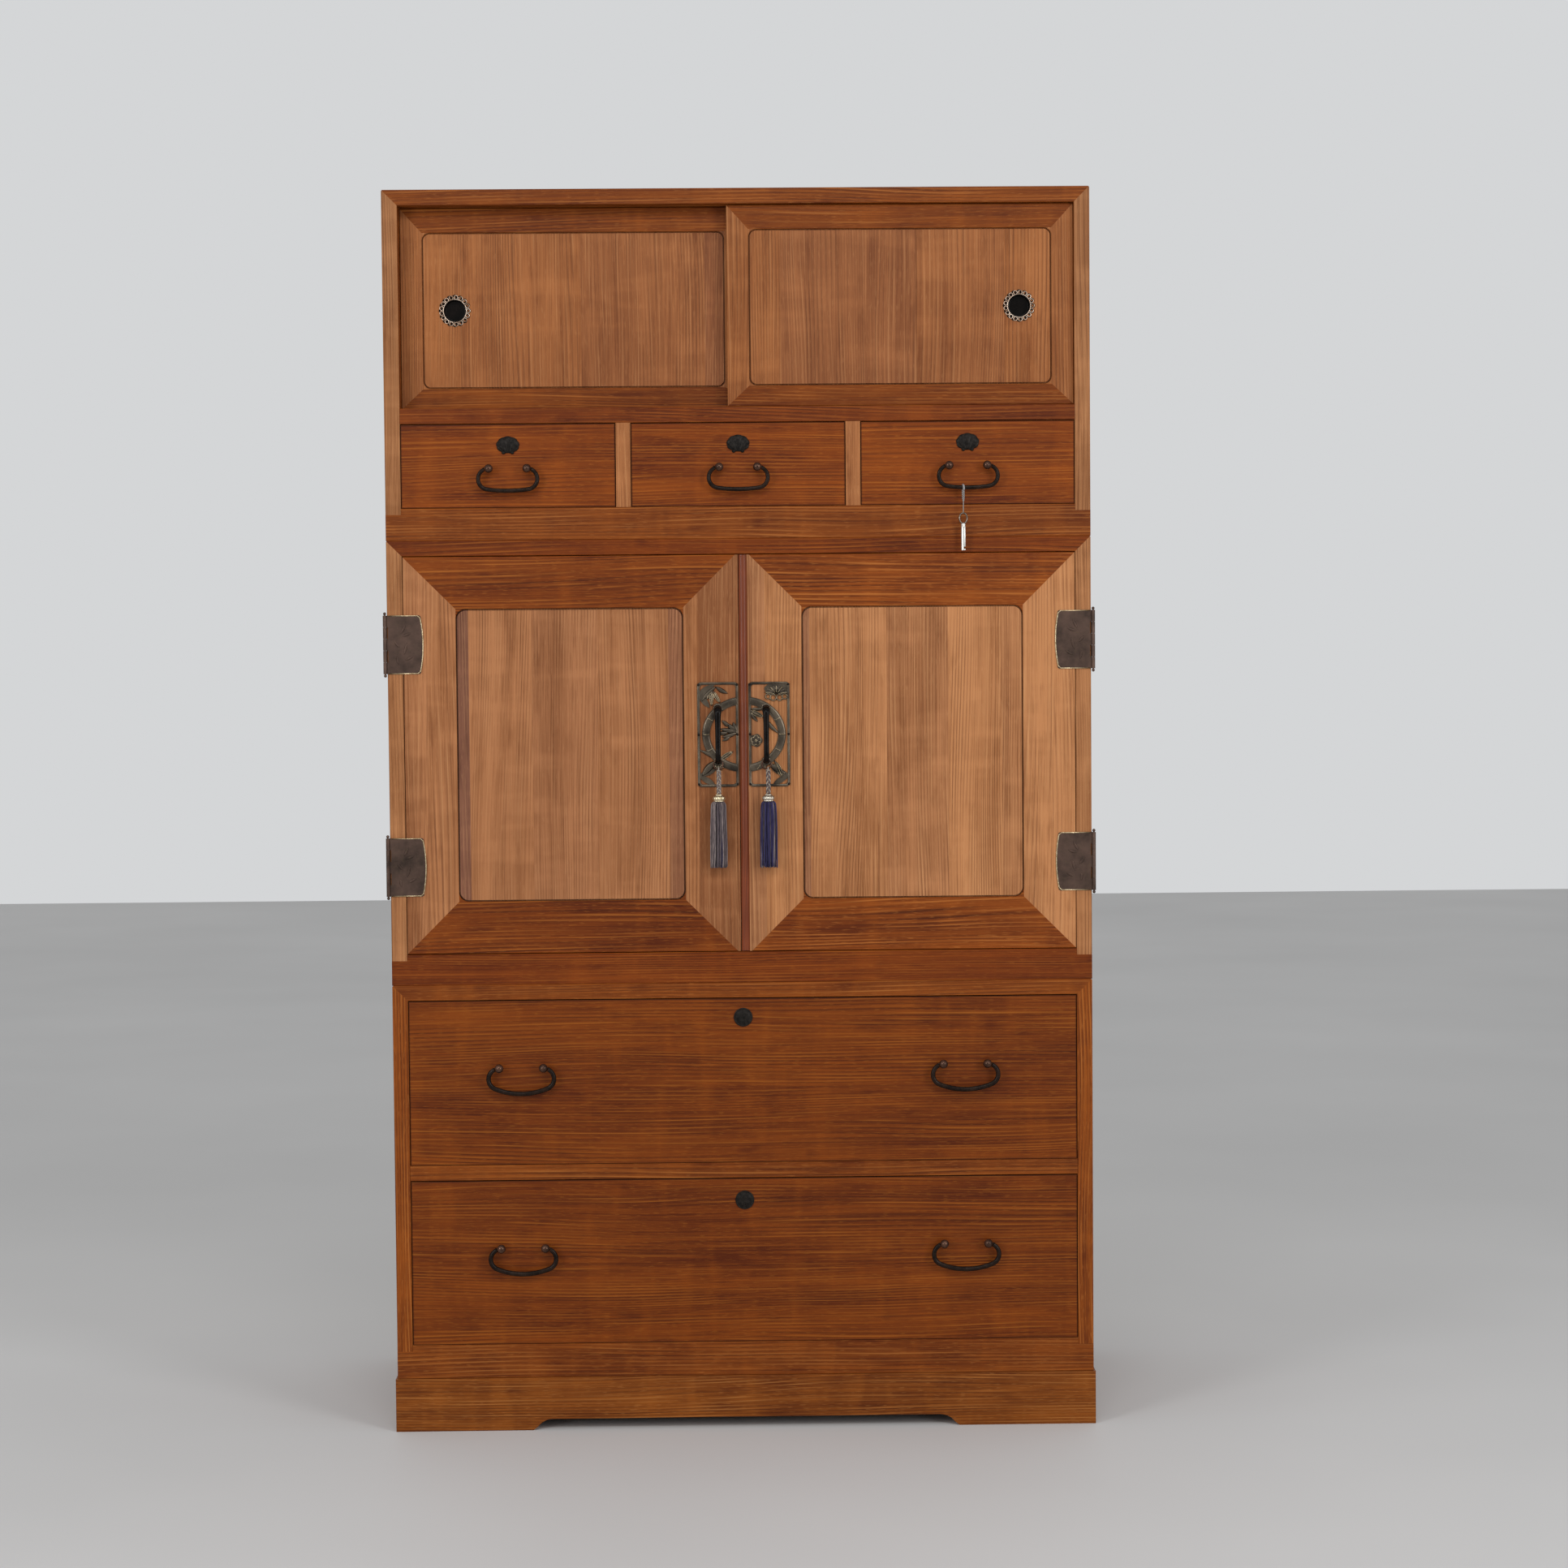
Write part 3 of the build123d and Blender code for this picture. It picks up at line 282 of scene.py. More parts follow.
def woodMaterial(name, seed, plain, direction="across", zones=(), mitres=None, limits=None, boards=None,
                 fieldToo=False, upright=uprightWood, edges=None):
    # plain is the wood of the main direction; zones are boxes whose grain runs another way; boards are the
    # glued strips of a panel, each with its own tone, tint and place in the figure
    material, nodes, shader, point = newMaterial(name)
    axes = nodes.parts(point)

    def turned(way):
        return nodes.joined({number: axes[order] for number, order in enumerate(grain[way])})

    def boxMask(key, low, high, **more):
        return nodes.use(boxGroup, {"Point": point, "Low": low, "High": high, **more})[key]

    coordinate = turned(direction)
    woods = dict(plain)
    tone = 0.0
    if mitres:
        masks = nodes.use(mitreGroup, {"Point": point, **mitres})
        mask = masks["Upright"]
        if limits:
            mask = nodes.times(mask, boxMask("Inside", *limits))
        if fieldToo:
            mask = nodes.math("MAXIMUM", mask, masks["Field"])
        coordinate = nodes.mixPoint(mask, coordinate, turned("up"))
        for key in colorKeys:
            woods[key] = nodes.mix(mask, plain[key], upright[key])
        for key in amountKeys:
            woods[key] = nodes.remap(mask, 0.0, 1.0, plain[key], upright[key])
    for low, high, way in zones:
        inside = boxMask("Inside", low, high)
        coordinate = nodes.mixPoint(inside, coordinate, turned(way))
        if way == "up":
            for key in colorKeys:
                woods[key] = nodes.mix(inside, woods[key], upright[key])
    if boards:
        ramp = nodes.add("ValToRGB", {0: nodes.remap(axes[0], *boards["span"])})
        ramp.color_ramp.interpolation = "CONSTANT"
        stops = ramp.color_ramp.elements
        stops.remove(stops[1])
        for number, (position, *look) in enumerate(boards["strips"]):
            stop = stops.new(position) if number else stops[0]
            stop.color = (*look, 1)
        looks = nodes.add("SeparateColor", {0: ramp.outputs[0]}).outputs
        amount = masks[boards["mask"]] if mitres else 1.0
        tone = nodes.times(nodes.remap(looks[0], 0.0, 1.0, -0.5, 0.5), amount)
        tint = nodes.times(looks[1], amount)
        for key, color in tinted.items():
            woods[key] = nodes.mix(tint, woods[key], color)
        shift = nodes.times(nodes.times(looks[2], 2.7), amount)
        coordinate = nodes.vector("ADD", coordinate, nodes.joined({1: shift}))
    figure = nodes.use(woodGroup, {"Point": coordinate, "Seed": seed, "Tone": tone, **woods})
    color = figure["Color"]
    # edges lay painted shade along a box's outline, for the shadow in the gaps round a drawer front
    if edges:
        low, high, width = edges
        color = nodes.mix(nodes.times(boxMask("EdgeShade", low, high, Width=width), 0.85), color, edgeShadeColor)
    nodes.feed(shader, {
        "Base Color": color, "Roughness": figure["Roughness"], "Normal": figure["Normal"],
        "Specular IOR Level": 0.16,
    })
    return material


def dress(node, material):
    slots = bpy.data.objects[node].data.materials
    if not slots:
        slots.append(material)
    for number in range(len(slots)):
        slots[number] = material


def sideZones(low, high, thick, inset=-0.01, top=None):
    # The side boards of a case or a drawer box, whose grain runs from front to back
    beyond = 0.01
    top = top or high.z + beyond
    return [
        ((start, low.y + inset, low.z - beyond), (end, high.y - inset, top), "deep")
        for start, end in ((low.x - beyond, low.x + thick), (high.x - thick, high.x + beyond))
    ]


# Cases, shelves, backs and trays

cases = {
    "bottom_chest_case": {"rail": 0.0395, "front": crossWood, "side": shaded(crossWood, 1.12)},
    "middle_chest_case": {
        "rail": 0.035, "front": shaded(crossWood, 0.83, 0.69, 0.38), "side": shaded(uprightWood, 0.88),
    },
    "top_chest_case": {
        "rail": 0.0365, "front": shaded(crossWood, 1.0, 1.02, 1.15), "side": shaded(uprightWood, 0.8),
    },
}
boardThick = 0.022
for number, (node, look) in enumerate(cases.items()):
    low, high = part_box(node)
    shoulder = low.z + look["rail"]
    mitres = {
        "Left": -0.5, "Right": 0.5, "Bottom": -9.0, "Top": high.z,
        "Stile": boardThick, "TopRail": boardThick, "BottomRail": 0.001,
    }
    limits = ((-0.6, -1.0, shoulder), (0.6, 1.0, high.z + 0.01))
    zones = sideZones(low, high, boardThick - 0.0001, 0.03, shoulder)
    dress(node, woodMaterial(
        node + "Wood", 1.0 + number, look["front"], upright=look["side"], zones=zones, mitres=mitres,
        limits=limits,
    ))

zones = sideZones(*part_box("plinth"), 0.0241, 0.024)
dress("plinth", woodMaterial("plinthWood", 4.0, shaded(crossWood, 1.06, 1.22, 1.5), zones=zones))
dress("bottom_chest_shelf", woodMaterial("lowShelfWood", 5.0, crossWood))
low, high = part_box("top_chest_partitions")
margin = Vector((0.01, 0.01, 0.01))
dress("top_chest_partitions", woodMaterial(
    "shelfWood", 6.0, shaded(crossWood, 0.82, 0.7, 0.52),
    zones=[(low - margin, high + margin - Vector((0, 0, 0.01 + boardThick)), "up")],
    upright=shaded(uprightWood, 0.87, 0.79, 0.72),
))
for number, name in enumerate(("bottom", "middle", "top")):
    node = name + "_chest_back"
    dress(node, woodMaterial(node + "Wood", 11.0 + number, paleWood, "up"))
dress("tray_runners", woodMaterial("runnerWood", 14.0, paleWood, "deep"))
zones = sideZones(*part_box("kimono_trays"), 0.0091)
dress("kimono_trays", woodMaterial("trayWood", 15.0, paleWood, zones=zones))
print("cases dressed")


# Doors: each strip is its start along the panel, tone, tint and shift

doorMember = 0.0742
sliding = {"bottom": 1.4623, "top": 1.7457, "stile": 0.031, "topRail": 0.034, "bottomRail": 0.029}
doorLooks = {
    "left": {
        "lipping": (0, 0.004),
        "rails": (0.91, 0.82, 0.6), "stiles": (0.93, 0.9, 0.9), "panel": (0.83, 0.8, 0.82),
        "panelStrips": [
            (0.0, 0.3, 0.9, 0.1), (0.052, 0.62, 0.0, 0.3), (0.33, 0.52, 0.1, 0.55), (0.62, 0.55, 0.0, 0.8),
            (0.93, 0.42, 0.5, 0.95),
        ],
        "stileStrips": [
            (0.0, 0.4, 0.1, 0.1), (0.07, 0.5, 0.05, 0.25), (0.5, 0.12, 0.0, 0.6), (0.886, 0.02, 0.12, 0.8),
        ],
        "slidingStrips": [
            (0.0, 0.7, 0.0, 0.15), (0.125, 0.48, 0.05, 0.35), (0.52, 0.4, 0.14, 0.65), (0.93, 0.3, 0.3, 0.85),
        ],
    },
    "right": {
        "lipping": (0.003, 0),
        "rails": (1.08, 1.03, 0.98), "stiles": (1, 1, 1), "panel": (1, 1, 1),
        "panelStrips": [
            (0.0, 0.36, 0.55, 0.2), (0.035, 0.55, 0.05, 0.4), (0.38, 0.48, 0.15, 0.6),
            (0.66, 0.62, 0.0, 0.75), (0.9, 0.5, 0.1, 0.9),
        ],
        "stileStrips": [
            (0.0, 0.42, 0.25, 0.3), (0.045, 0.56, 0.0, 0.4), (0.5, 0.86, 0.0, 0.65), (0.93, 0.8, 0.0, 0.9),
        ],
        "slidingStrips": [
            (0.0, 0.5, 0.04, 0.25), (0.105, 0.36, 0.2, 0.5), (0.55, 0.44, 0.1, 0.7), (0.84, 0.58, 0.0, 0.9),
        ],
    },
}
for number, (side, look) in enumerate(doorLooks.items()):
    low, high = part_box(side + "_door_frame")
    left, right = low.x + look["lipping"][0], high.x - look["lipping"][1]
    mitres = {
        "Left": left, "Right": right, "Bottom": low.z, "Top": high.z,
        "Stile": doorMember, "TopRail": doorMember, "BottomRail": doorMember,
    }
    boards = {"span": (left, right), "strips": look["stileStrips"], "mask": "Upright"}
    rails = {**shaded(crossWood, *look["rails"]), "Spacing": 170.0, "FleckAmount": 0.62, "LineAmount": 0.8}
    dress(side + "_door_frame", woodMaterial(
        side + "DoorFrameWood", 21.0 + number, rails, mitres=mitres, boards=boards,
        upright=shaded(uprightWood, *look["stiles"]),
    ))
    boards = {"span": (left + doorMember, right - doorMember), "strips": look["panelStrips"]}
    field = shaded(uprightWood, *look["panel"])
    panel = woodMaterial(side + "DoorPanelWood", 23.0 + number, field, "up", boards=boards)
    dress(side + "_door_panel", panel)
    low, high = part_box(side + "_sliding_door")
    mitres = {
        "Left": low.x, "Right": high.x, "Bottom": sliding["bottom"], "Top": sliding["top"],
        "Stile": sliding["stile"], "TopRail": sliding["topRail"], "BottomRail": sliding["bottomRail"],
    }
    span = (low.x + sliding["stile"], high.x - sliding["stile"])
    boards = {"span": span, "strips": look["slidingStrips"], "mask": "Field"}
    dress(side + "_sliding_door", woodMaterial(
        side + "SlidingWood", 25.0 + number, crossWood, mitres=mitres, boards=boards, fieldToo=True,
        upright=slidingWood,
    ))
print("doors dressed")


# Drawers

smallDrawer = {"front": shaded(crossWood, 0.99, 0.87, 0.5), "side": 0.0091}
largeDrawer = {"front": shaded(crossWood, 0.85, 0.76, 0.4), "side": 0.0121}
drawers = {
    "left_small_drawer": smallDrawer, "centre_small_drawer": smallDrawer, "right_small_drawer": smallDrawer,
    "lower_large_drawer": largeDrawer, "upper_large_drawer": largeDrawer,
}
for number, (node, look) in enumerate(drawers.items()):
    # Each front gets painted shade along its edges, for the shadow in the gaps round the drawer
    edges = (*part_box(node + "_front"), 0.0022)
    dress(node + "_front", woodMaterial(node + "FrontWood", 31.0 + 1.7 * number, look["front"], edges=edges))
    zones = sideZones(*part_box(node + "_box"), look["side"])
    dress(node + "_box", woodMaterial(node + "BoxWood", 41.0 + 1.7 * number, paleWood, zones=zones))
print("drawers dressed")


# Metals, lacquer and yarn

metals = {
    "hingeBronze": {
        "dark": (0.036, 0.022, 0.016, 1), "light": (0.118, 0.07, 0.052, 1),
        "spotColor": (0.12, 0.085, 0.045, 1), "spots": 0.2, "size": 0.035, "relief": 0.06,
        "roughness": (0.34, 0.46), "metallic": 0.7,
    },
    # Bright brass that paints highlights on the raised edges, veins, nodes and rings of the hinges and lock
    # plates
    "highlightBrass": {
        "dark": (0.3, 0.22, 0.12, 1), "light": (0.62, 0.5, 0.32, 1), "spotColor": (0.12, 0.08, 0.05, 1),
        "spots": 0.3, "size": 0.004, "relief": 0.2, "roughness": (0.26, 0.45),
    },
    "rimBrass": {
        "dark": (0.32, 0.21, 0.14, 1), "light": (0.85, 0.68, 0.54, 1), "spotColor": (0.16, 0.1, 0.06, 1),
        "spots": 0.2, "size": 0.012, "relief": 0.05, "roughness": (0.25, 0.36),
    },
    "plateBrass": {
        "dark": (0.038, 0.03, 0.0225, 1), "light": (0.15, 0.118, 0.084, 1),
        "spotColor": (0.02, 0.016, 0.012, 1), "spots": 0.2, "size": 0.03, "relief": 0.08,
        "roughness": (0.26, 0.4), "metallic": 0.85,
    },
    "bailBronze": {
        "dark": (0.006, 0.0038, 0.0026, 1), "light": (0.022, 0.0125, 0.0085, 1),
        "spotColor": (0.07, 0.04, 0.024, 1), "spots": 0.35, "size": 0.012, "relief": 0.04,
        "roughness": (0.16, 0.24), "metallic": 0.05, "specular": 0.1,
    },
    "ballBronze": {
        "dark": (0.035, 0.017, 0.011, 1), "light": (0.12, 0.058, 0.036, 1),
        "spotColor": (0.02, 0.012, 0.01, 1), "spots": 0.3, "size": 0.008, "relief": 0.05,
        "roughness": (0.15, 0.24), "metallic": 0.6, "specular": 0.3,
    },
    "coverIron": {
        "dark": (0.006, 0.0052, 0.0048, 1), "light": (0.021, 0.018, 0.0155, 1),
        "spotColor": (0.07, 0.055, 0.04, 1), "spots": 0.25, "size": 0.005, "relief": 0.25,
        "roughness": (0.34, 0.5), "metallic": 0.1, "specular": 0.08,
    },
    "blackIron": {
        "dark": (0.002, 0.0014, 0.001, 1), "light": (0.008, 0.0055, 0.0045, 1),
        "spotColor": (0.03, 0.024, 0.02, 1), "spots": 0.15, "size": 0.02, "relief": 0.01,
        "roughness": (0.14, 0.2), "metallic": 0.0, "specular": 0.09,
    },
    "keySteel": {
        "dark": (0.78, 0.77, 0.73, 1), "light": (0.88, 0.88, 0.85, 1), "spotColor": (0.6, 0.56, 0.5, 1),
        "spots": 0.05, "size": 0.02, "relief": 0.0, "roughness": (0.34, 0.38), "metallic": 0.6,
    },
    "bowSteel": {
        "dark": (0.07, 0.055, 0.045, 1), "light": (0.25, 0.21, 0.17, 1),
        "spotColor": (0.04, 0.03, 0.02, 1), "spots": 0.3, "size": 0.006, "relief": 0.08,
        "roughness": (0.25, 0.4),
    },
    "beadGold": {
        "dark": (0.42, 0.33, 0.18, 1), "light": (0.88, 0.78, 0.56, 1), "spotColor": (0.16, 0.11, 0.05, 1),
        "spots": 0.25, "size": 0.003, "relief": 0.2, "roughness": (0.22, 0.38),
    },
    "beadSilver": {
        "dark": (0.32, 0.28, 0.22, 1), "light": (0.74, 0.69, 0.58, 1), "spotColor": (0.1, 0.08, 0.06, 1),
        "spots": 0.25, "size": 0.003, "relief": 0.2, "roughness": (0.22, 0.38),
    },
}
skirtScale = (900.0, 900.0, 90.0)
yarns = {
    "greyYarn": {
        "dark": (0.085, 0.066, 0.07, 1), "light": (0.31, 0.25, 0.235, 1), "other": (0.13, 0.1, 0.112, 1),
        "scale": skirtScale,
    },
    "navyYarn": {
        "dark": (0.012, 0.01, 0.034, 1), "light": (0.046, 0.04, 0.12, 1), "other": (0.024, 0.021, 0.055, 1),
        "scale": skirtScale,
    },
    # A dark purple-grey yarn, real in the right cord and in some outer strands; in the skirts' inner layers
    # it is painted shade
    "darkYarnAndShade": {
        "dark": (0.04, 0.031, 0.038, 1), "light": (0.15, 0.118, 0.118, 1), "other": (0.07, 0.053, 0.068, 1),
        "scale": skirtScale,
    },
    "creamYarn": {
        "dark": (0.19, 0.155, 0.125, 1), "light": (0.4, 0.345, 0.285, 1), "other": (0.28, 0.235, 0.195, 1),
        "scale": (700.0, 700.0, 500.0),
    },
    "stringYarn": {
        "dark": (0.16, 0.15, 0.15, 1), "light": (0.4, 0.38, 0.37, 1), "other": (0.25, 0.23, 0.22, 1),
        "scale": (900.0, 900.0, 600.0),
    },
}


def metalMaterial(name, look):
    material, nodes, shader, point = newMaterial(name)
    masks = nodes.use(patinaGroup, {"Point": point, "Size": look["size"], "Relief": look["relief"]})
    color = nodes.mix(masks["Mottle"], look["dark"], look["light"])
    polished, dull = look["roughness"]
    nodes.feed(shader, {
        "Base Color": nodes.mix(nodes.times(masks["Spot"], look["spots"]), color, look["spotColor"]),
        "Roughness": nodes.remap(masks["Mottle"], 0.0, 1.0, dull, polished),
        "Normal": masks["Normal"], "Metallic": look.get("metallic", 1.0),
        "Specular IOR Level": look.get("specular", 0.5),
    })
    return material


def yarnMaterial(name, look):
    material, nodes, shader, point = newMaterial(name)
    streak = nodes.noise(point, look["scale"], 2.0, 0.6)
    patch = nodes.remap(nodes.noise(point, (160.0, 160.0, 30.0)), 0.45, 0.75, 0.0, 0.6)
    color = nodes.mix(nodes.remap(streak, 0.3, 0.7), look["dark"], look["light"])
    nodes.feed(shader, {
        "Base Color": nodes.mix(patch, color, look["other"]), "Normal": nodes.bump(streak, 0.6, 0.0003),
        "Roughness": 0.78, "Specular IOR Level": 0.2, "Sheen Weight": 0.12, "Sheen Roughness": 0.4,
    })
    return material


metal = {name: metalMaterial(name, look) for name, look in metals.items()}
yarn = {name: yarnMaterial(name, look) for name, look in yarns.items()}

beadWood = woodMaterial("beadWood", 51.0, redWood, "up")
beadShader = next(node for node in beadWood.node_tree.nodes if node.type == "BSDF_PRINCIPLED")
beadShader.inputs["Coat Weight"].default_value = 0.2
beadShader.inputs["Coat Roughness"].default_value = 0.12
dress("right_door_bead", beadWood)
dress("case_hinges", metal["hingeBronze"])
for side in sides:
    dress(side + "_door_hinges", metal["hingeBronze"])
    dress(side + "_lock_plate", metal["plateBrass"])
    dress(side + "_finger_pull", metal["blackIron"])
for node in drawers:
    dress(node + "_hardware", metal["ballBronze"])
print("metals made")


# Mesh helpers

def circleAngles(steps):
    return [2 * pi * step / steps for step in range(steps)]


def arcPoints(centre, radii, start, end, steps, y):
    # Points of an arc or an ellipse in the X and Z plane; angles in degrees
    radiusX, radiusZ = radii if isinstance(radii, tuple) else (radii, radii)
    angles = [radians(start + (end - start) * step / steps) for step in range(steps + 1)]
    return [(centre[0] + radiusX * cos(angle), y, centre[1] + radiusZ * sin(angle)) for angle in angles]


def turning(axis):
    return Vector((0, 0, 1)).rotation_difference(Vector(axis)).to_matrix()


def finishPart(bm, part, index):
    # Closes a part's mesh, smooths it and adds it to the piece's own
    bmesh.ops.remove_doubles(part, verts=part.verts, dist=0.0000005)
    bmesh.ops.recalc_face_normals(part, faces=part.faces)
    for face in part.faces:
        face.smooth = True
        face.material_index = index
    mesh = bpy.data.meshes.new("part")
    part.to_mesh(mesh)
    part.free()
    bm.from_mesh(mesh)
    bpy.data.meshes.remove(mesh)


def extruded(part, edges):
    made = bmesh.ops.extrude_edge_only(part, edges=edges)["geom"]
    fresh = {item for item in made if isinstance(item, bmesh.types.BMVert)}
    newEdges = [item for item in made if isinstance(item, bmesh.types.BMEdge)]
    return [edge for edge in newEdges if fresh.issuperset(edge.verts)], fresh


def spun(part, line, steps):
    # Spins a line of radius and height round Z
    verts = [part.verts.new((radius, 0, height)) for radius, height in line]
    for pair in zip(verts[:-1], verts[1:]):
        part.edges.new(pair)
    bmesh.ops.spin(
        part, geom=part.verts[:] + part.edges[:], cent=(0, 0, 0), axis=(0, 0, 1), dvec=(0, 0, 0),
        angle=2 * pi, steps=steps, use_merge=True,
    )


def fillHoles(part):
    bmesh.ops.holes_fill(part, edges=[edge for edge in part.edges if edge.is_boundary], sides=0)


def tube(bm, points, radius, sides=12, closed=False, shape=(1.0, 1.0), facing=None, index=0):
    # A circle extruded from point to point; radius may be a function of share along and angle round
    count = len(points)
    points = [Vector(point) for point in points]
    part = bmesh.new()
    ring = bmesh.ops.create_circle(part, cap_ends=False, segments=sides, radius=1.0)["verts"]
    angles = [atan2(vert.co.y, vert.co.x) for vert in ring]
    edges = firstEdges = list(part.edges)
    normal = None
    for i in range(count):
        if i:
            edges, fresh = extruded(part, edges)
            ring = [
                next(edge.other_vert(vert) for edge in vert.link_edges if edge.other_vert(vert) in fresh)
                for vert in ring
            ]
        before = points[i - 1] if closed or i > 0 else points[i]
        after = points[(i + 1) % count] if closed or i < count - 1 else points[i]
        tangent = (after - before).normalized()
        if facing is not None:
            normal = Vector(facing)
        elif normal is None:
            normal = tangent.orthogonal()
        normal = (normal - tangent * normal.dot(tangent)).normalized()
        side = tangent.cross(normal)
        for vert, angle in zip(ring, angles):
            size = radius(i / max(1, count - 1), angle) if callable(radius) else radius
            vert.co = points[i] + normal * cos(angle) * size * shape[0] + side * sin(angle) * size * shape[1]
    if closed:
        bmesh.ops.bridge_loops(part, edges=firstEdges + edges)
    else:
        bmesh.ops.contextual_create(part, geom=firstEdges)
        bmesh.ops.contextual_create(part, geom=edges)
    finishPart(bm, part, index)


def lathe(bm, profile, centre, steps=32, radial=None, index=0, axis=(0, -1, 0)):
    # profile holds radius and height; radial changes the radius by angle
    part = bmesh.new()
    spun(part, profile, steps)
    if radial:
        for vert in part.verts:
            share = radial(atan2(vert.co.y, vert.co.x))
            vert.co.x *= share
            vert.co.y *= share
    bmesh.ops.remove_doubles(part, verts=part.verts, dist=0.0000005)
    fillHoles(part)
    place = Matrix.Translation(centre) @ turning(axis).to_4x4()
    bmesh.ops.transform(part, matrix=place, verts=part.verts)
    finishPart(bm, part, index)


def ringOf(bm, centre, radius, wire, axis, index=0, steps=28):
    spots = [Vector((radius * cos(angle), radius * sin(angle), 0)) for angle in circleAngles(steps)]
    points = [Vector(centre) + turning(axis) @ spot for spot in spots]
    tube(bm, points, wire, 10, closed=True, index=index)


def makePiece(name, bm, materials, body, nodes=()):
    bmesh.ops.recalc_face_normals(bm, faces=bm.faces)
    mesh = bpy.data.meshes.new(name)
    bm.to_mesh(mesh)
    bm.free()
    for material in materials:
        mesh.materials.append(material)
    piece = bpy.data.objects.new(name, mesh)
    scene.collection.objects.link(piece)
    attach(piece, body)
    if nodes:
        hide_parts(*nodes)
    return piece


def softenEdges(bm, angle):
    for edge in bm.edges:
        if len(edge.link_faces) == 2 and edge.calc_face_angle() > angle:
            edge.smooth = False


# Bails: a bow hanging from two bends, which end in pins inside the posts

smallBail = {"spacing": 0.054, "bend": 0.0148, "drop": 0.0315, "rod": 0.0029, "clear": 0.00655}
largeBail = {"spacing": 0.063, "bend": 0.0151, "drop": 0.0364, "rod": 0.0033, "clear": 0.00675}
bailPin = {"radius": 0.0015, "inside": 0.0021}


def bailPath(centreX, postZ, y, form, steps=48):
    half, bend, drop = form["spacing"] / 2, form["bend"], form["drop"]
    low = drop - bend
    bow = (half * half + low * low - bend * bend) / (2 * (low - bend))
    start = asin(form["clear"] / bend)
    meet = atan2(half, bow - drop + bend)
    points = []
    for step in range(steps):
        angle = pi / 2 - start - (pi - start - meet) * step / steps
        points.append((half + bend * cos(angle), -bend + bend * sin(angle)))
    for step in range(steps // 2):
        angle = meet * (1 - step / (steps // 2))
        points.append((bow * sin(angle), bow - drop - bow * cos(angle)))
    points.append((0.0, -drop))
    right = [(centreX + x, y, postZ + z) for x, z in points]
    left = [(centreX - x, y, postZ + z) for x, z in reversed(points[:-1])]
    return right + left


def makeBail(node, body, form):
    low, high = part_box(node)
    centreX, y = (low.x + high.x) / 2, (low.y + high.y) / 2
    rod = form["rod"]
    postZ = low.z + rod + form["drop"]

    def thickness(share, angle):
        # Thickest in the middle, with cast petals there
        fromMiddle = abs(share - 0.5) * 2
        size = rod * (1.08 - 0.13 * fromMiddle ** 1.5)
        if fromMiddle < 0.3:
            petal = sin(share * 190) * sin(angle * 3)
            scroll = sin(share * 95 + angle * 2)
            size *= 0.96 + 0.03 * max(0.0, petal) + 0.03 * max(0.0, scroll)
        return size

    bm = bmesh.new()
    tube(bm, bailPath(centreX, postZ, y, form), thickness, 20, facing=(0, 1, 0))
    for sense in (-1, 1):
        inner = centreX + sense * (form["spacing"] / 2 + bailPin["inside"])
        outer = centreX + sense * (form["spacing"] / 2 + form["clear"] + rod / 2)
        tube(bm, [(inner, y, postZ), (outer, y, postZ)], bailPin["radius"])
    makePiece(node + "_cast", bm, [metal["bailBronze"]], body, [node])


for name in ("left", "centre", "right"):
    makeBail(name + "_small_drawer_bail", name + "_small_bail", smallBail)
for name in ("lower", "upper"):
    for side in sides:
        makeBail(name + "_large_drawer_" + side + "_bail", name + "_" + side + "_bail", largeBail)
print("bails made")


# Keyhole covers: ribbed shells on the small drawers, domed discs on the large ones

shell = {
    "halfX": 0.0157, "halfZ": 0.0121, "height": 0.0042, "ribs": 5.6, "fan": 0.0145,
    "footX": 0.0062, "footZ": 0.0026,
}
shellFoot = [(0.0024, 0.0), (0.0025, 0.0009), (0.0017, 0.0022), (0.0003, 0.0026)]
discProfile = [
    (0.0135, 0.0), (0.0135, 0.0009), (0.0131, 0.0013), (0.0124, 0.0014), (0.0119, 0.001), (0.0113, 0.001),
    (0.0096, 0.0018), (0.0072, 0.0024), (0.0045, 0.0029), (0.0022, 0.0031), (0.0003, 0.0032),
]


def makeShell(node, body):
    low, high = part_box(node)
    centreX, middleZ, back = (low.x + high.x) / 2, (low.z + high.z) / 2, high.y
    bm = bmesh.new()
    spun(bm, [(step / 26, 0) for step in range(27)], 120)
    bmesh.ops.remove_doubles(bm, verts=bm.verts, dist=0.0001)
    for vert in bm.verts:
        share, angle = vert.co.length, atan2(vert.co.y, vert.co.x)
        scallop = 1 + 0.05 * abs(cos(4.5 * (angle - pi / 2)))
        squash = 1 - 0.1 * max(0.0, -sin(angle)) ** 3
        x = shell["halfX"] * cos(angle) * share * scallop * squash
        z = shell["halfZ"] * sin(angle) * share * scallop * squash
        ridge = abs(cos(atan2(x, z + shell["fan"]) * shell["ribs"])) ** 0.7
        dome = sqrt(max(0.0, 1 - min(1.0, share * 0.985) ** 2.6))
        vert.co = (centreX + x, back - shell["height"] * dome * (0.62 + 0.38 * ridge), middleZ + z)
    for face in bm.faces:
        face.smooth = True
    backEdges, fresh = extruded(bm, [edge for edge in bm.edges if edge.is_boundary])
    for vert in fresh:
        vert.co.y = back
    bmesh.ops.contextual_create(bm, geom=backEdges)
    for sense in (-1, 1):
        lathe(bm, shellFoot, (centreX + sense * shell["footX"], back, low.z + shell["footZ"]), 16)
    softenEdges(bm, 0.9)
    makePiece(node + "_shell", bm, [metal["coverIron"]], body, [node])


def makeDisc(node, body):
    low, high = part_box(node)
    bm = bmesh.new()
    centre = ((low.x + high.x) / 2, high.y, (low.z + high.z) / 2)
    lathe(bm, discProfile, centre, 64, lambda angle: 1 - 0.012 * abs(sin(4 * angle)))
    softenEdges(bm, 0.7)
    makePiece(node + "_disc", bm, [metal["coverIron"]], body, [node])


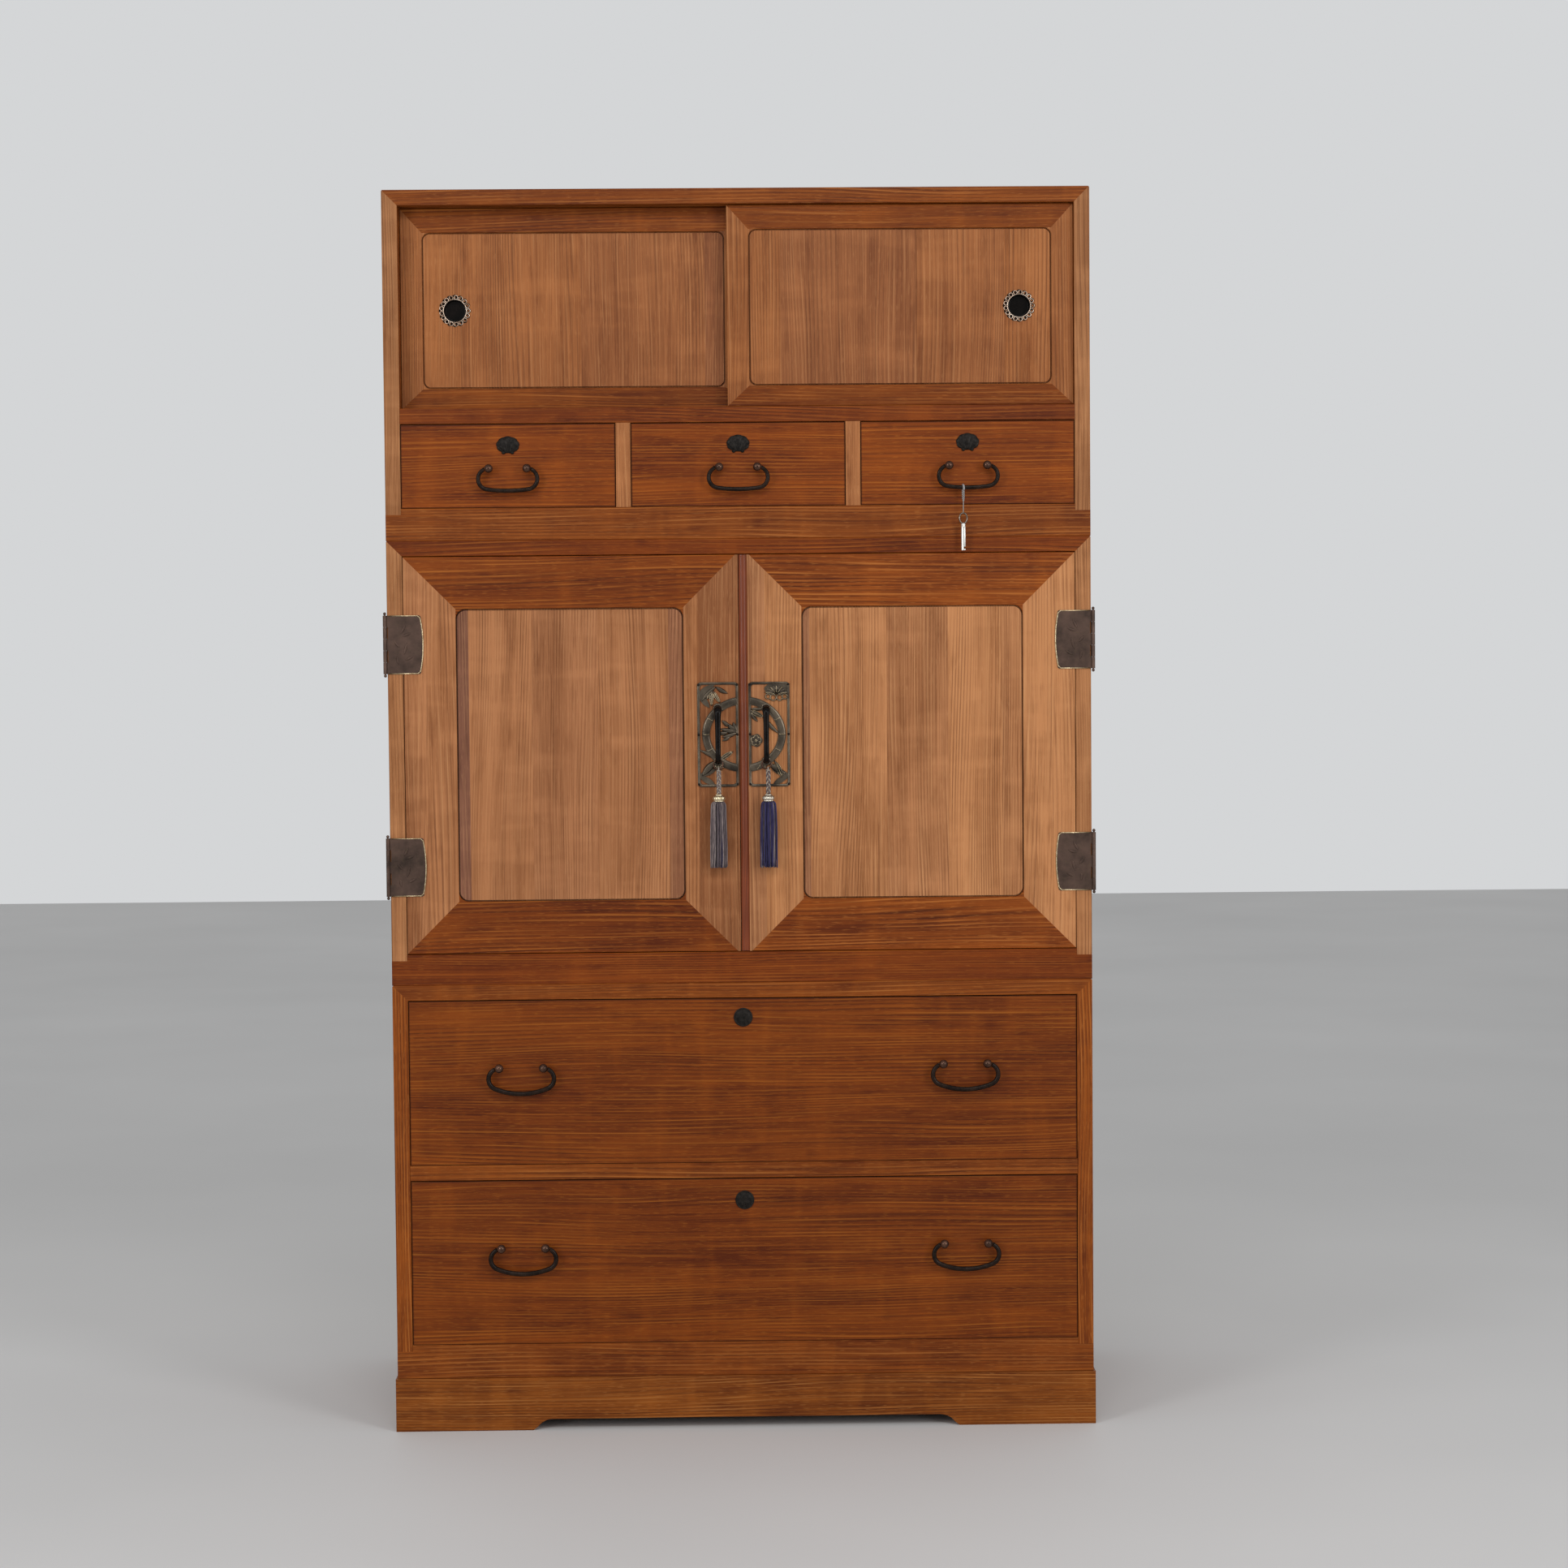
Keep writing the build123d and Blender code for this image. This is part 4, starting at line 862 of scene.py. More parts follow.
for name in ("left", "centre", "right"):
    makeShell(name + "_small_drawer_key_cover", name + "_small_cover")
for name in ("lower", "upper"):
    makeDisc(name + "_large_drawer_key_cover", name + "_large_cover")
print("covers made")


# Brass rims of the finger pulls: a ring with small loops round it

rim = {
    "radius": 0.0163, "wire": 0.0005,
    "loops": 17, "loopCentre": 0.0191, "loopRadius": 0.0027, "loopWire": 0.00055,
}
for side in sides:
    low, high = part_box(side + "_finger_pull")
    x, y, z = (low.x + high.x) / 2, low.y + 0.0003, (low.z + high.z) / 2
    bm = bmesh.new()
    flat = {"closed": True, "facing": (0, 1, 0), "shape": (0.9, 1.0)}
    tube(bm, arcPoints((x, z), rim["radius"], 0, 360, 72, y)[:-1], rim["wire"], 10, **flat)
    for angle in circleAngles(rim["loops"]):
        spot = (x + rim["loopCentre"] * cos(angle), z + rim["loopCentre"] * sin(angle))
        tube(bm, arcPoints(spot, rim["loopRadius"], 0, 360, 20, y)[:-1], rim["loopWire"], 8, **flat)
    makePiece(side + "_pull_rim", bm, [metal["rimBrass"]], side + "_sliding_door")


# Leaves of the hinges and lock plates: root X and Z, angle, length, width, bend along the leaf

def leafPoint(leaf, share, across, y):
    x, z, angle, length, width, curl = leaf
    wide = width / 2 * sin(pi * min(0.985, 0.02 + share * 0.98)) ** 0.8 * across
    bend, along = radians(angle) + curl * share, length * share
    return x + along * cos(bend) - sin(bend) * wide, y, z + along * sin(bend) + cos(bend) * wide


def leafShape(bm, leaf, base, rise):
    # A closed leaf with a raised middle, facing -Y
    part = bmesh.new()
    bmesh.ops.create_grid(part, x_segments=12, y_segments=4, size=1.0)
    for vert in part.verts:
        share, across = (vert.co.x + 1) / 2, vert.co.y
        lift = 0.0 if abs(across) > 0.75 or share < 0.01 or share > 0.99 else 0.7
        vert.co = leafPoint(leaf, share, across, base - rise * lift)
    fillHoles(part)
    finishPart(bm, part, 0)


def leafVein(bm, leaf, base, rise, outline=False):
    # Painted highlights: bright brass lines along a leaf's midrib and, where asked, along its edges
    for across in ((0.0, 1.0, -1.0) if outline else (0.0,)):
        y = base - (0.15 if across else 0.85) * rise
        points = [leafPoint(leaf, step / 12, across, y) for step in range(2, 12)]
        tube(bm, points, 0.00036 if across else 0.0003, 6, index=2)


# Hinge plates: an edge of bright brass round the bulging plate, a painted highlight of its bevel, and faint
# leaves on it

hinge = {
    "half": 0.0415, "outer": 0.4982, "inner": 0.453, "bulge": 0.0044, "corner": 0.003,
    "inset": 0.0006, "wire": 0.00075,
}
hingeLevels = {"low": 0.8115, "high": 1.128}
hingeLeaves = (
    (0.018, 0.016, 62, 0.014), (0.02, 0.012, 20, 0.013), (0.016, -0.004, 130, 0.012),
    (0.022, -0.014, 75, 0.017), (0.024, -0.022, 30, 0.013), (0.014, -0.028, 100, 0.012),
)


def hingeTrim(side, name, level):
    sense = -1 if side == "left" else 1
    y = doorFaceY - 0.0012
    half, bulge, corner, inset = hinge["half"], hinge["bulge"], hinge["corner"], hinge["inset"]
    outer = sense * hinge["outer"]
    radius = (half * half + bulge * bulge) / (2 * bulge)
    outline = [(outer, y, level + half - inset)]
    for step in range(25):
        z = half * (1 - 2 * step / 24)
        out = sqrt(radius * radius - z * z) - (radius - bulge)
        rounding = max(0.0, abs(z) - (half - corner))
        shave = corner - sqrt(max(0.0, corner ** 2 - rounding ** 2))
        x = sense * (hinge["inner"] - (out - shave - 0.0007))
        outline.append((x, y, level + z * (half - inset) / half))
    outline.append((outer, y, level - half + inset))
    body = side + "_door"
    bm = bmesh.new()
    # The edge tube's bright brass is a painted highlight along the plate's bevel
    tube(bm, outline, hinge["wire"], 8, facing=(0, 1, 0), shape=(0.45, 1.0))
    makePiece(side + "_hinge_edge_" + name, bm, [metal["highlightBrass"]], body)
    bm = bmesh.new()
    for dx, dz, angle, length in hingeLeaves:
        turned = angle if side == "left" else 180 - angle
        leafShape(bm, (outer - sense * dx, level + dz, turned, length, 0.0042, 0.0), y, 0.00016)
    makePiece(side + "_hinge_leaves_" + name, bm, [metal["hingeBronze"]], body)


for side in sides:
    for name, level in hingeLevels.items():
        hingeTrim(side, name, level)
print("hinges trimmed")


# Lock plates: relief over the flat openwork sheet. A leaf is its root from the plate's left and top edges,
# angle, length and width; bright ones have a vein, outlined ones bright edges too, both painted highlights

plates = {
    "left": {
        "span": (-0.0614, -0.0029), "arc": (100, 260), "handleX": -0.0321,
        "bright": (2, 3, 4, 14, 15, 16, 17, 18, 19), "outlined": (3, 4, 14),
        "leaves": [
            (0.0267, 0.0063, 217, 0.029, 0.0062), (0.0267, 0.0063, 321, 0.0196, 0.0062),
            (0.0219, 0.012, 228, 0.0155, 0.0048), (0.0219, 0.012, 258, 0.0224, 0.005),
            (0.0232, 0.012, 291, 0.0204, 0.0046), (0.056, 0.07, 120, 0.014, 0.006),
            (0.056, 0.07, 150, 0.018, 0.007), (0.056, 0.07, 180, 0.024, 0.007),
            (0.056, 0.072, 205, 0.022, 0.006), (0.046, 0.063, 150, 0.014, 0.006),
            (0.043, 0.072, 190, 0.016, 0.006), (0.046, 0.078, 215, 0.012, 0.005),
            (0.027, 0.112, 217, 0.03, 0.0105), (0.027, 0.11, 142, 0.028, 0.0052),
            (0.031, 0.112, 42, 0.024, 0.006), (0.03, 0.113, 228, 0.012, 0.0042),
            (0.03, 0.113, 246, 0.0135, 0.0042), (0.03, 0.113, 264, 0.014, 0.0042),
            (0.03, 0.113, 282, 0.0135, 0.0042), (0.03, 0.113, 300, 0.012, 0.0042),
        ],
    },
    "right": {
        "span": (0.0116, 0.0701), "arc": (-81, 81), "handleX": 0.0364,
        "bright": (0, 4, 6, 7), "outlined": (0, 4),
        "leaves": [
            (0.002, 0.04, 325, 0.022, 0.0066), (0.003, 0.038, 352, 0.02, 0.005),
            (0.003, 0.044, 300, 0.016, 0.005), (0.021, 0.05, 304, 0.032, 0.006),
            (0.036, 0.112, 302, 0.027, 0.0066), (0.029, 0.116, 318, 0.028, 0.009),
            (0.025, 0.112, 250, 0.013, 0.005), (0.022, 0.112, 222, 0.018, 0.0052),
        ],
    },
}
plateLow, plateHigh = plateZ - 0.0745, plateZ + 0.0745
handleHalf = 0.038
bamboo = {"radiusX": 0.054, "radiusZ": 0.0483, "thick": 0.0051}
border = {"bar": 0.0018, "corner": 0.0045, "wire": 0.00165}
fanLoops = ((0.0118, 0.0036, 0.0036), (0.0045, 0.0042, 0.005))
petal = [(0.0036, 0.0), (0.0034, 0.0006), (0.0022, 0.001), (0.0004, 0.0009)]
rosette = [(0.0066, 0.0), (0.0066, 0.0012), (0.0056, 0.0019), (0.0044, 0.0021)]
stud = [(0.0019, 0.0), (0.0018, 0.0009), (0.0011, 0.0016), (0.0002, 0.0018)]


def bambooRadius(share, angle):
    # Swells at each of the stalk's nodes
    position = share * 6.0
    near = abs(position - round(position))
    swell = exp(-((near / 0.05) ** 2))
    dip = exp(-(((near - 0.1) / 0.05) ** 2))
    return bamboo["thick"] * (1 + 0.1 * swell - 0.06 * dip)


def makeStalk(bm, start, end):
    y = plateFrontY + 0.0002
    radii = (bamboo["radiusX"], bamboo["radiusZ"])
    ring = arcPoints((meetingX, plateZ), radii, start, end, 120, y)
    tube(bm, ring, bambooRadius, 14, facing=(0, 1, 0), shape=(0.26, 1.0))
    # Arcs of bright brass across the stalk at its nodes are painted highlights
    for number in range(1, 6):
        angle = radians(start + (end - start) * number / 6)
        across = []
        for off in (-0.0046, -0.0025, 0.0, 0.0025, 0.0046):
            x = meetingX + (radii[0] + off) * cos(angle)
            across.append((x, y - 0.0014 + abs(off) * 0.14, plateZ + (radii[1] + off) * sin(angle)))
        tube(bm, across, 0.0004, 6, index=2)


def makeBorder(bm, x0, x1):
    reach = border["bar"] + border["corner"]
    corners = (
        (x1 - reach, plateHigh - reach), (x0 + reach, plateHigh - reach),
        (x0 + reach, plateLow + reach), (x1 - reach, plateLow + reach),
    )
    points = []
    for number, centre in enumerate(corners):
        points += arcPoints(centre, border["corner"], 90 * number, 90 * number + 90, 6, plateFrontY + 0.0002)
    tube(bm, points, border["wire"], 10, closed=True, facing=(0, 1, 0), shape=(0.45, 1.0))


def makeFan(bm, x, z):
    base = plateFrontY + 0.0001
    for number in range(9):
        angle = 8 + 164 * number / 8
        length = 0.0128 + 0.0045 * abs(cos(radians(angle))) ** 3
        leafShape(bm, (x, z, angle, length, 0.0052, 0.0), base, 0.0011)
        if number % 2 == 0:
            leafVein(bm, (x, z, angle, length, 0.005, 0.0), base, 0.0012)
    for offset, size, drop in fanLoops:
        for spotX in (x - offset, x + offset):
            # Each loop's thin upper ring is bright brass, a painted highlight
            for height, wire, index in ((0.0003, 0.0009, 0), (0.0009, 0.00028, 2)):
                ringOf(bm, (spotX, plateFrontY - height, z - drop), size, wire, (0, 1, 0), index)


def makeBlossom(bm, x, z):
    for number in range(5):
        turn = radians(72 * number + 18)
        spotX, spotZ = x + 0.0042 * cos(turn), z + 0.0042 * sin(turn)
        lathe(bm, petal, (spotX, plateFrontY, spotZ), 14)
        # The bright brass ring round each petal is a painted highlight
        ringOf(bm, (spotX, plateFrontY - 0.0006, spotZ), 0.0032, 0.0003, (0, 1, 0), 2)


def makeLockRelief(side):
    plate = plates[side]
    x0, x1 = plate["span"]
    handleX = plate["handleX"]
    handleFeet = (plateZ - handleHalf, plateZ + handleHalf)
    bm = bmesh.new()
    makeStalk(bm, *plate["arc"])
    makeBorder(bm, x0, x1)
    for number, (dx, dz, angle, length, width) in enumerate(plate["leaves"]):
        leaf = (x0 + dx, plateHigh - dz, angle, length, width, -0.15 if dx > 0.03 else 0.15)
        leafShape(bm, leaf, plateFrontY + 0.0001, 0.0011)
        if number in plate["bright"]:
            leafVein(bm, leaf, plateFrontY + 0.0001, 0.0011, number in plate["outlined"])
    if side == "right":
        makeFan(bm, x1 - border["bar"] - 0.017, plateHigh - border["bar"] - 0.0155)
        makeBlossom(bm, x0 + 0.0102, plateZ - 0.0088)
    for z in handleFeet:
        lathe(bm, rosette, (handleX, plateFrontY, z), 40, lambda angle: 1 + 0.09 * cos(10 * angle))
    for x in (x0 + 0.0018, x1 - 0.0018):
        for z in (plateLow + 0.0036, plateZ, plateHigh - 0.0036):
            lathe(bm, stud, (x, plateFrontY, z), 14, index=1)
    # Slot 2, the bright brass, paints highlights on the relief
    materials = [metal["plateBrass"], metal["coverIron"], metal["highlightBrass"]]
    makePiece(side + "_plate_relief", bm, materials, side + "_door")

    bm = bmesh.new()
    for z in handleFeet:
        for depth, size in ((0.004, 0.0047), (0.0066, 0.0043)):
            ring = arcPoints((handleX, z), (size, size * 0.68), 0, 360, 28, plateFrontY - depth)[:-1]
            tube(bm, ring, 0.0008, 8, closed=True)
    makePiece(side + "_handle_collars", bm, [metal["bailBronze"]], side + "_door")


for side in sides:
    makeLockRelief(side)
print("lock plates made")


# Door handles: a bar that widens to its upper bend, with the tassel's ring

handle = {"reach": 0.0235, "bend": 0.01, "narrow": 0.0038, "wide": 0.0053}
handleRing = {"y": doorFaceY - 0.013, "z": plateZ - handleHalf + 0.0022, "radius": 0.0066, "wire": 0.0011}


def makeHandle(side):
    x, front, bend = plates[side]["handleX"], doorFaceY - handle["reach"], handle["bend"]
    low, high = plateZ - handleHalf, plateZ + handleHalf
    quarter = [radians(90 * step / 12) for step in range(13)]
    points = [(x, plateFrontY, high)]
    points += [(x, front + bend - bend * sin(angle), high - bend + bend * cos(angle)) for angle in quarter]
    points += [(x, front, high - bend - (high - low - 2 * bend) * step / 12) for step in range(1, 12)]
    points += [(x, front + bend - bend * cos(angle), low + bend - bend * sin(angle)) for angle in quarter]
    points.append((x, plateFrontY, low))

    def halfWidth(share, around):
        return handle["narrow"] + (handle["wide"] - handle["narrow"]) * exp(-((share - 0.2) / 0.16) ** 2)

    bm = bmesh.new()
    tube(bm, points, halfWidth, 24, facing=(1, 0, 0), shape=(1.0, 0.6))
    radius = handleRing["radius"]
    ringOf(bm, (x, handleRing["y"], handleRing["z"] - radius), radius, handleRing["wire"], (0, 1, 0), 1, 40)
    materials = [metal["blackIron"], metal["ballBronze"]]
    makePiece(side + "_handle_bow", bm, materials, side + "_door", [side + "_door_handle"])


for side in sides:
    makeHandle(side)
print("handles made")


# Cords: smooth splines through the route's points, and strands laid round them

def routePoints(name, controls):
    # Reads evenly spaced points from a NURBS spline on the control points
    curve = bpy.data.curves.new(name, "CURVE")
    curve.dimensions = "3D"
    curve.resolution_u = 24
    spline = curve.splines.new("NURBS")
    spline.points.add(len(controls) - 1)
    for point, place in zip(spline.points, controls):
        point.co = (*place, 1.0)
    spline.use_endpoint_u = True
    spline.order_u = 3
    helper = bpy.data.objects.new(name, curve)
    scene.collection.objects.link(helper)
    bpy.context.view_layer.update()
    mesh = bpy.data.meshes.new_from_object(helper)
    points = [vert.co.copy() for vert in mesh.vertices]
    bpy.data.objects.remove(helper)
    bpy.data.meshes.remove(mesh)
    return points


def pathLength(points):
    return sum((b - a).length for a, b in zip(points[:-1], points[1:]))


def alongPath(points, share):
    target = pathLength(points) * share
    for a, b in zip(points[:-1], points[1:]):
        step = (b - a).length
        if target <= step:
            return a.lerp(b, target / step if step else 0.0)
        target -= step
    return points[-1]


def hangingPoints(x, y, top, length):
    # A straight fall with a slight lean in its middle
    return [(x, y, top), (x + 0.0005, y, top - length / 2), (x, y, top - length)]


def twistedCord(name, controls, form, body, node):
    # Two strands in each bundle; bundles lie side by side and turn opposite ways
    path = routePoints(name + "Route", controls)
    length, steps = pathLength(path), form["steps"]
    strandRadius = form["radius"] * form["strandShare"]
    laid = form["radius"] - strandRadius
    bm = bmesh.new()
    for aside in form["bundles"]:
        sense = -1 if aside < 0 else 1
        for number in range(2):
            points = []
            for step in range(steps + 1):
                share = step / steps
                angle = 2 * pi * (number / 2 + sense * share * length / form["pitch"])
                offset = Vector((aside + cos(angle) * laid, sin(angle) * laid, 0))
                points.append(alongPath(path, share) + offset)
            tube(bm, points, strandRadius, 8, index=number)
    return makePiece(name, bm, [yarn[key] for key in form["yarns"]], body, [node]), path


# Tassels: mix holds the shares of grey, navy and dusk strands outside, inside those of the inner layers,
# whose dark yarns are painted shade; from the limit on towards the edge, every second strand is grey

tassels = {
    "left": {
        "yarns": ["creamYarn", "greyYarn"], "bead": "beadGold", "edge": -1, "limit": 2.0, "aside": 0.0005,
        "mix": (0.72, 0.04, 0.24), "inside": (0.0, 0.6, 0.4),
    },
    "right": {
        "yarns": ["creamYarn", "darkYarnAndShade"], "bead": "beadSilver", "edge": 1, "limit": 0.42, "aside": 0.0022,
        "mix": (0.06, 0.94, 0.0), "inside": (0.0, 0.6, 0.4),
    },
}
tasselCord = {
    "radius": 0.0018, "strandShare": 0.55, "steps": 60, "pitch": 0.0075, "bundles": (-0.00165, 0.00165),
    "eye": 0.00245,
}
beadProfile = [
    (0.0036, 0.0), (0.0046, -0.0003), (0.005, -0.0009), (0.0047, -0.0014), (0.0058, -0.0018),
    (0.0075, -0.0028), (0.0086, -0.0041), (0.009, -0.0056), (0.0089, -0.007), (0.0081, -0.0082),
    (0.0074, -0.0088), (0.0078, -0.0092), (0.0078, -0.0099), (0.007, -0.0104), (0.0048, -0.0106),
]
skirtLayers = ((18, 1.0), (22, 0.76), (12, 0.42))
skirtShares = (0.0, 0.01, 0.022, 0.04, 0.07, 0.12, 0.2, 0.3, 0.4, 0.5, 0.6, 0.7, 0.8, 0.9, 1.0)
skirtHalf = (0.0116, 0.0064)


def makeSkirt(bm, x, y, top, bottom, look):
    for layer, (count, spread) in enumerate(skirtLayers):
        for k in range(count):
            angle = 2 * pi * (k + random.uniform(-0.36, 0.36)) / count
            endX = (skirtHalf[0] + random.uniform(-0.0014, 0.001)) * spread * cos(angle)
            endY = (skirtHalf[1] + random.uniform(-0.0005, 0.0003)) * spread * sin(angle)
            endZ = bottom + min(0.006, abs(random.gauss(0, 0.002)))
            swayX, swayPhase = random.uniform(-0.0013, 0.0013), random.uniform(0, 6)
            points = []
            for share in skirtShares:
                wide = 1 - 0.5 * exp(-share / 0.018) - 0.15 * exp(-share / 0.35)
                sway = swayX * sin(share * 6 + swayPhase) * share
                points.append((x + endX * wide + sway, y + endY * wide, top + (endZ - top) * share))
            # Inner layers are mostly dark navy and dusk yarn: painted shade between the outer strands
            index = random.choices((0, 1, 2), look["inside"] if layer else look["mix"])[0]
            towards = cos(angle) * look["edge"] > look["limit"]
            if towards and not layer:
                index = k % 2
            twist = random.uniform(0, 6)
            thick = 0.0008 if towards and index == 0 else 0.0011

            def strand(share, around):
                return thick * (1 + 0.1 * sin(share * 160 + around + twist))

            tube(bm, points, strand, 7, index=index)
    ringOf(bm, (x, y, top - 0.0006), 0.0058, 0.0008, (0, 0, 1), 2)


def beadRibs(angle):
    return 1 - 0.08 * (1 - abs(sin(7 * angle))) ** 2


def makeTassel(side):
    look, body = tassels[side], side + "_tassel"
    x, y = plates[side]["handleX"] + look["aside"], handleRing["y"]
    ringFoot = handleRing["z"] - 2 * handleRing["radius"]
    eye = tasselCord["eye"]
    top = ringFoot - eye
    controls = hangingPoints(x, y, top, 0.033)
    low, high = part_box(body)
    form = {**tasselCord, "yarns": look["yarns"]}
    cord, path = twistedCord(body + "_braid", controls, form, body, body + "_cord")
    bm = bmesh.new()
    ringOf(bm, (x, y, ringFoot), eye, 0.00095, (1, 0, 0))
    ringOf(bm, (x, y, top + 0.0006), 0.0022, 0.0009, (0.2, 0, 1))
    hitch = makePiece(body + "_hitch", bm, [yarn["creamYarn"]], body)

    bm = bmesh.new()
    lathe(bm, beadProfile, (x, y, high.z), 112, beadRibs, axis=(0, 0, 1))
    bead = makePiece(body + "_bead", bm, [metal[look["bead"]]], body)

    bm = bmesh.new()
    makeSkirt(bm, x, y, high.z - 0.0098, low.z + 0.0002, look)
    materials = [yarn["greyYarn"], yarn["navyYarn"], yarn["darkYarnAndShade"]]
    makePiece(body + "_skirt", bm, materials, body, [body])


for side in sides:
    makeTassel(side)
print("tassels made")


# The key on its string: a ring, a collar, a hollow shank and its bit

keyString = {
    "radius": 0.0009, "strandShare": 0.56, "steps": 90, "pitch": 0.0042, "bundles": (0.0,),
    "yarns": ["stringYarn", "creamYarn"], "x": 0.318167, "y": -0.22285, "pivot": 1.344,
}
keyForm = {
    "bow": (0.0054, 0.0074), "bowDrop": 0.0085, "bowWire": 0.0011, "shankDrop": 0.0159, "collar": 0.0045,
    "notch": (0.0022, 0.0052), "soften": 0.0002,
}
collarProfile = [
    (0.0012, 0.0006), (0.0021, 0.0), (0.0031, -0.0012), (0.0031, -0.0024), (0.0026, -0.003), (0.003, -0.0036),
    (0.003, -0.0044), (0.0025, -0.005),
]


def makeHitch(x, y, pivot, top, path):
    bm = bmesh.new()
    ringOf(bm, (x, y, pivot), 0.0041, 0.0009, (1, 0, 0))
    ringOf(bm, (x, y, pivot), 0.0041, 0.0009, (1, 0.35, 0.1))
    ringOf(bm, (x, y, top - 0.001), 0.0012, 0.0009, (0.3, 0, 1), steps=16)
    for number in range(2):
        wrap = []
        for step in range(61):
            share = 0.5 * step / 60
            angle = pi * number + share * 34
            reach = 0.0013 - 0.0009 * max(0.0, share - 0.35) / 0.15
            wrap.append(alongPath(path, share) + Vector((cos(angle) * reach, sin(angle) * reach, 0)))
        tube(bm, wrap, 0.0008, 8)
    return makePiece("key_hitch", bm, [yarn["stringYarn"]], "key")


def makeKeyBody(x, y):
    low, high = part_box("key")
    bottom, shankTop = low.z, high.z - keyForm["shankDrop"]
    rodTop = shankTop - keyForm["collar"]
    upright = {"axis": (0, 0, 1)}
    bm = bmesh.new()
    ring = arcPoints((x, high.z - keyForm["bowDrop"]), keyForm["bow"], 90, -270, 56, y)[:-1]
    tube(bm, ring, keyForm["bowWire"], 12, closed=True, facing=(0, 1, 0), index=1)
    lathe(bm, collarProfile, (x, y, shankTop), 32, **upright)
    notchLow, notchHigh = bottom + keyForm["notch"][0], bottom + keyForm["notch"][1]
    rods = (
        (-0.0011, 0.0018, bottom, rodTop),
        (0.0019, 0.0011, bottom, notchLow), (0.0019, 0.0011, notchHigh, rodTop),
    )
    for offset, radius, start, end in rods:
        tall, blunt, edge = end - start, radius * 0.85, 0.0002
        profile = [(0, 0), (blunt, 0), (radius, edge), (radius, tall - edge), (blunt, tall), (0, tall)]
        lathe(bm, profile, (x + offset, y, start), 24, **upright)
    # A dark iron web in the crease between the two rods: painted shade of the line between them
    bridge = bmesh.ops.create_cube(bm, size=1.0)["verts"]
    middle, size = Vector((x + 0.0005, y, (bottom + rodTop) / 2)), (0.0016, 0.0014, rodTop - bottom - 0.0006)
    for vert in bridge:
        vert.co = middle + Vector(part * share for part, share in zip(vert.co, size))
    for face in {face for vert in bridge for face in vert.link_faces}:
        face.material_index = 2
    softenEdges(bm, 0.8)
    materials = [metal["keySteel"], metal["bowSteel"], metal["coverIron"]]
    key = makePiece("key_body", bm, materials, "key", ["key"])
    bevel = key.modifiers.new("edges", "BEVEL")
    bevel.affect = "EDGES"
    bevel.width = keyForm["soften"]
    bevel.segments = 2
    bevel.profile = 0.5
    bevel.limit_method = "ANGLE"
    bevel.angle_limit = radians(50)
    bevel.material = -1
    return key


x, y, pivot = (keyString[part] for part in ("x", "y", "pivot"))
top = pivot - 0.00425
controls = hangingPoints(x, y, top, 0.0305)
cord, path = twistedCord("key_twine", controls, keyString, "key", "key_string")
hitch = makeHitch(x, y, pivot, top, path)
key = makeKeyBody(x, y)
print("key made")


# Floor, lamps, background and camera

lamps = {
    "leftLamp": {"place": (-2.6, -3.1, 1.9), "aim": (0, -0.2, 0.95), "size": (1.1, 2.5), "power": 42},
    "rightLamp": {"place": (2.6, -3.1, 1.9), "aim": (0, -0.2, 0.95), "size": (1.1, 2.5), "power": 49},
    "topLamp": {"place": (0, -3.2, 3.3), "aim": (0, -0.2, 1.0), "size": (1.8, 0.9), "power": 24},
}
photoView = {"pitch": 2.511, "yaw": 0.891, "roll": -0.483, "x": -0.0026, "away": 4.1002, "z": 1.1053}
sensorWidth = 36.0
focalPixels, photoPixels = 3550, 1932


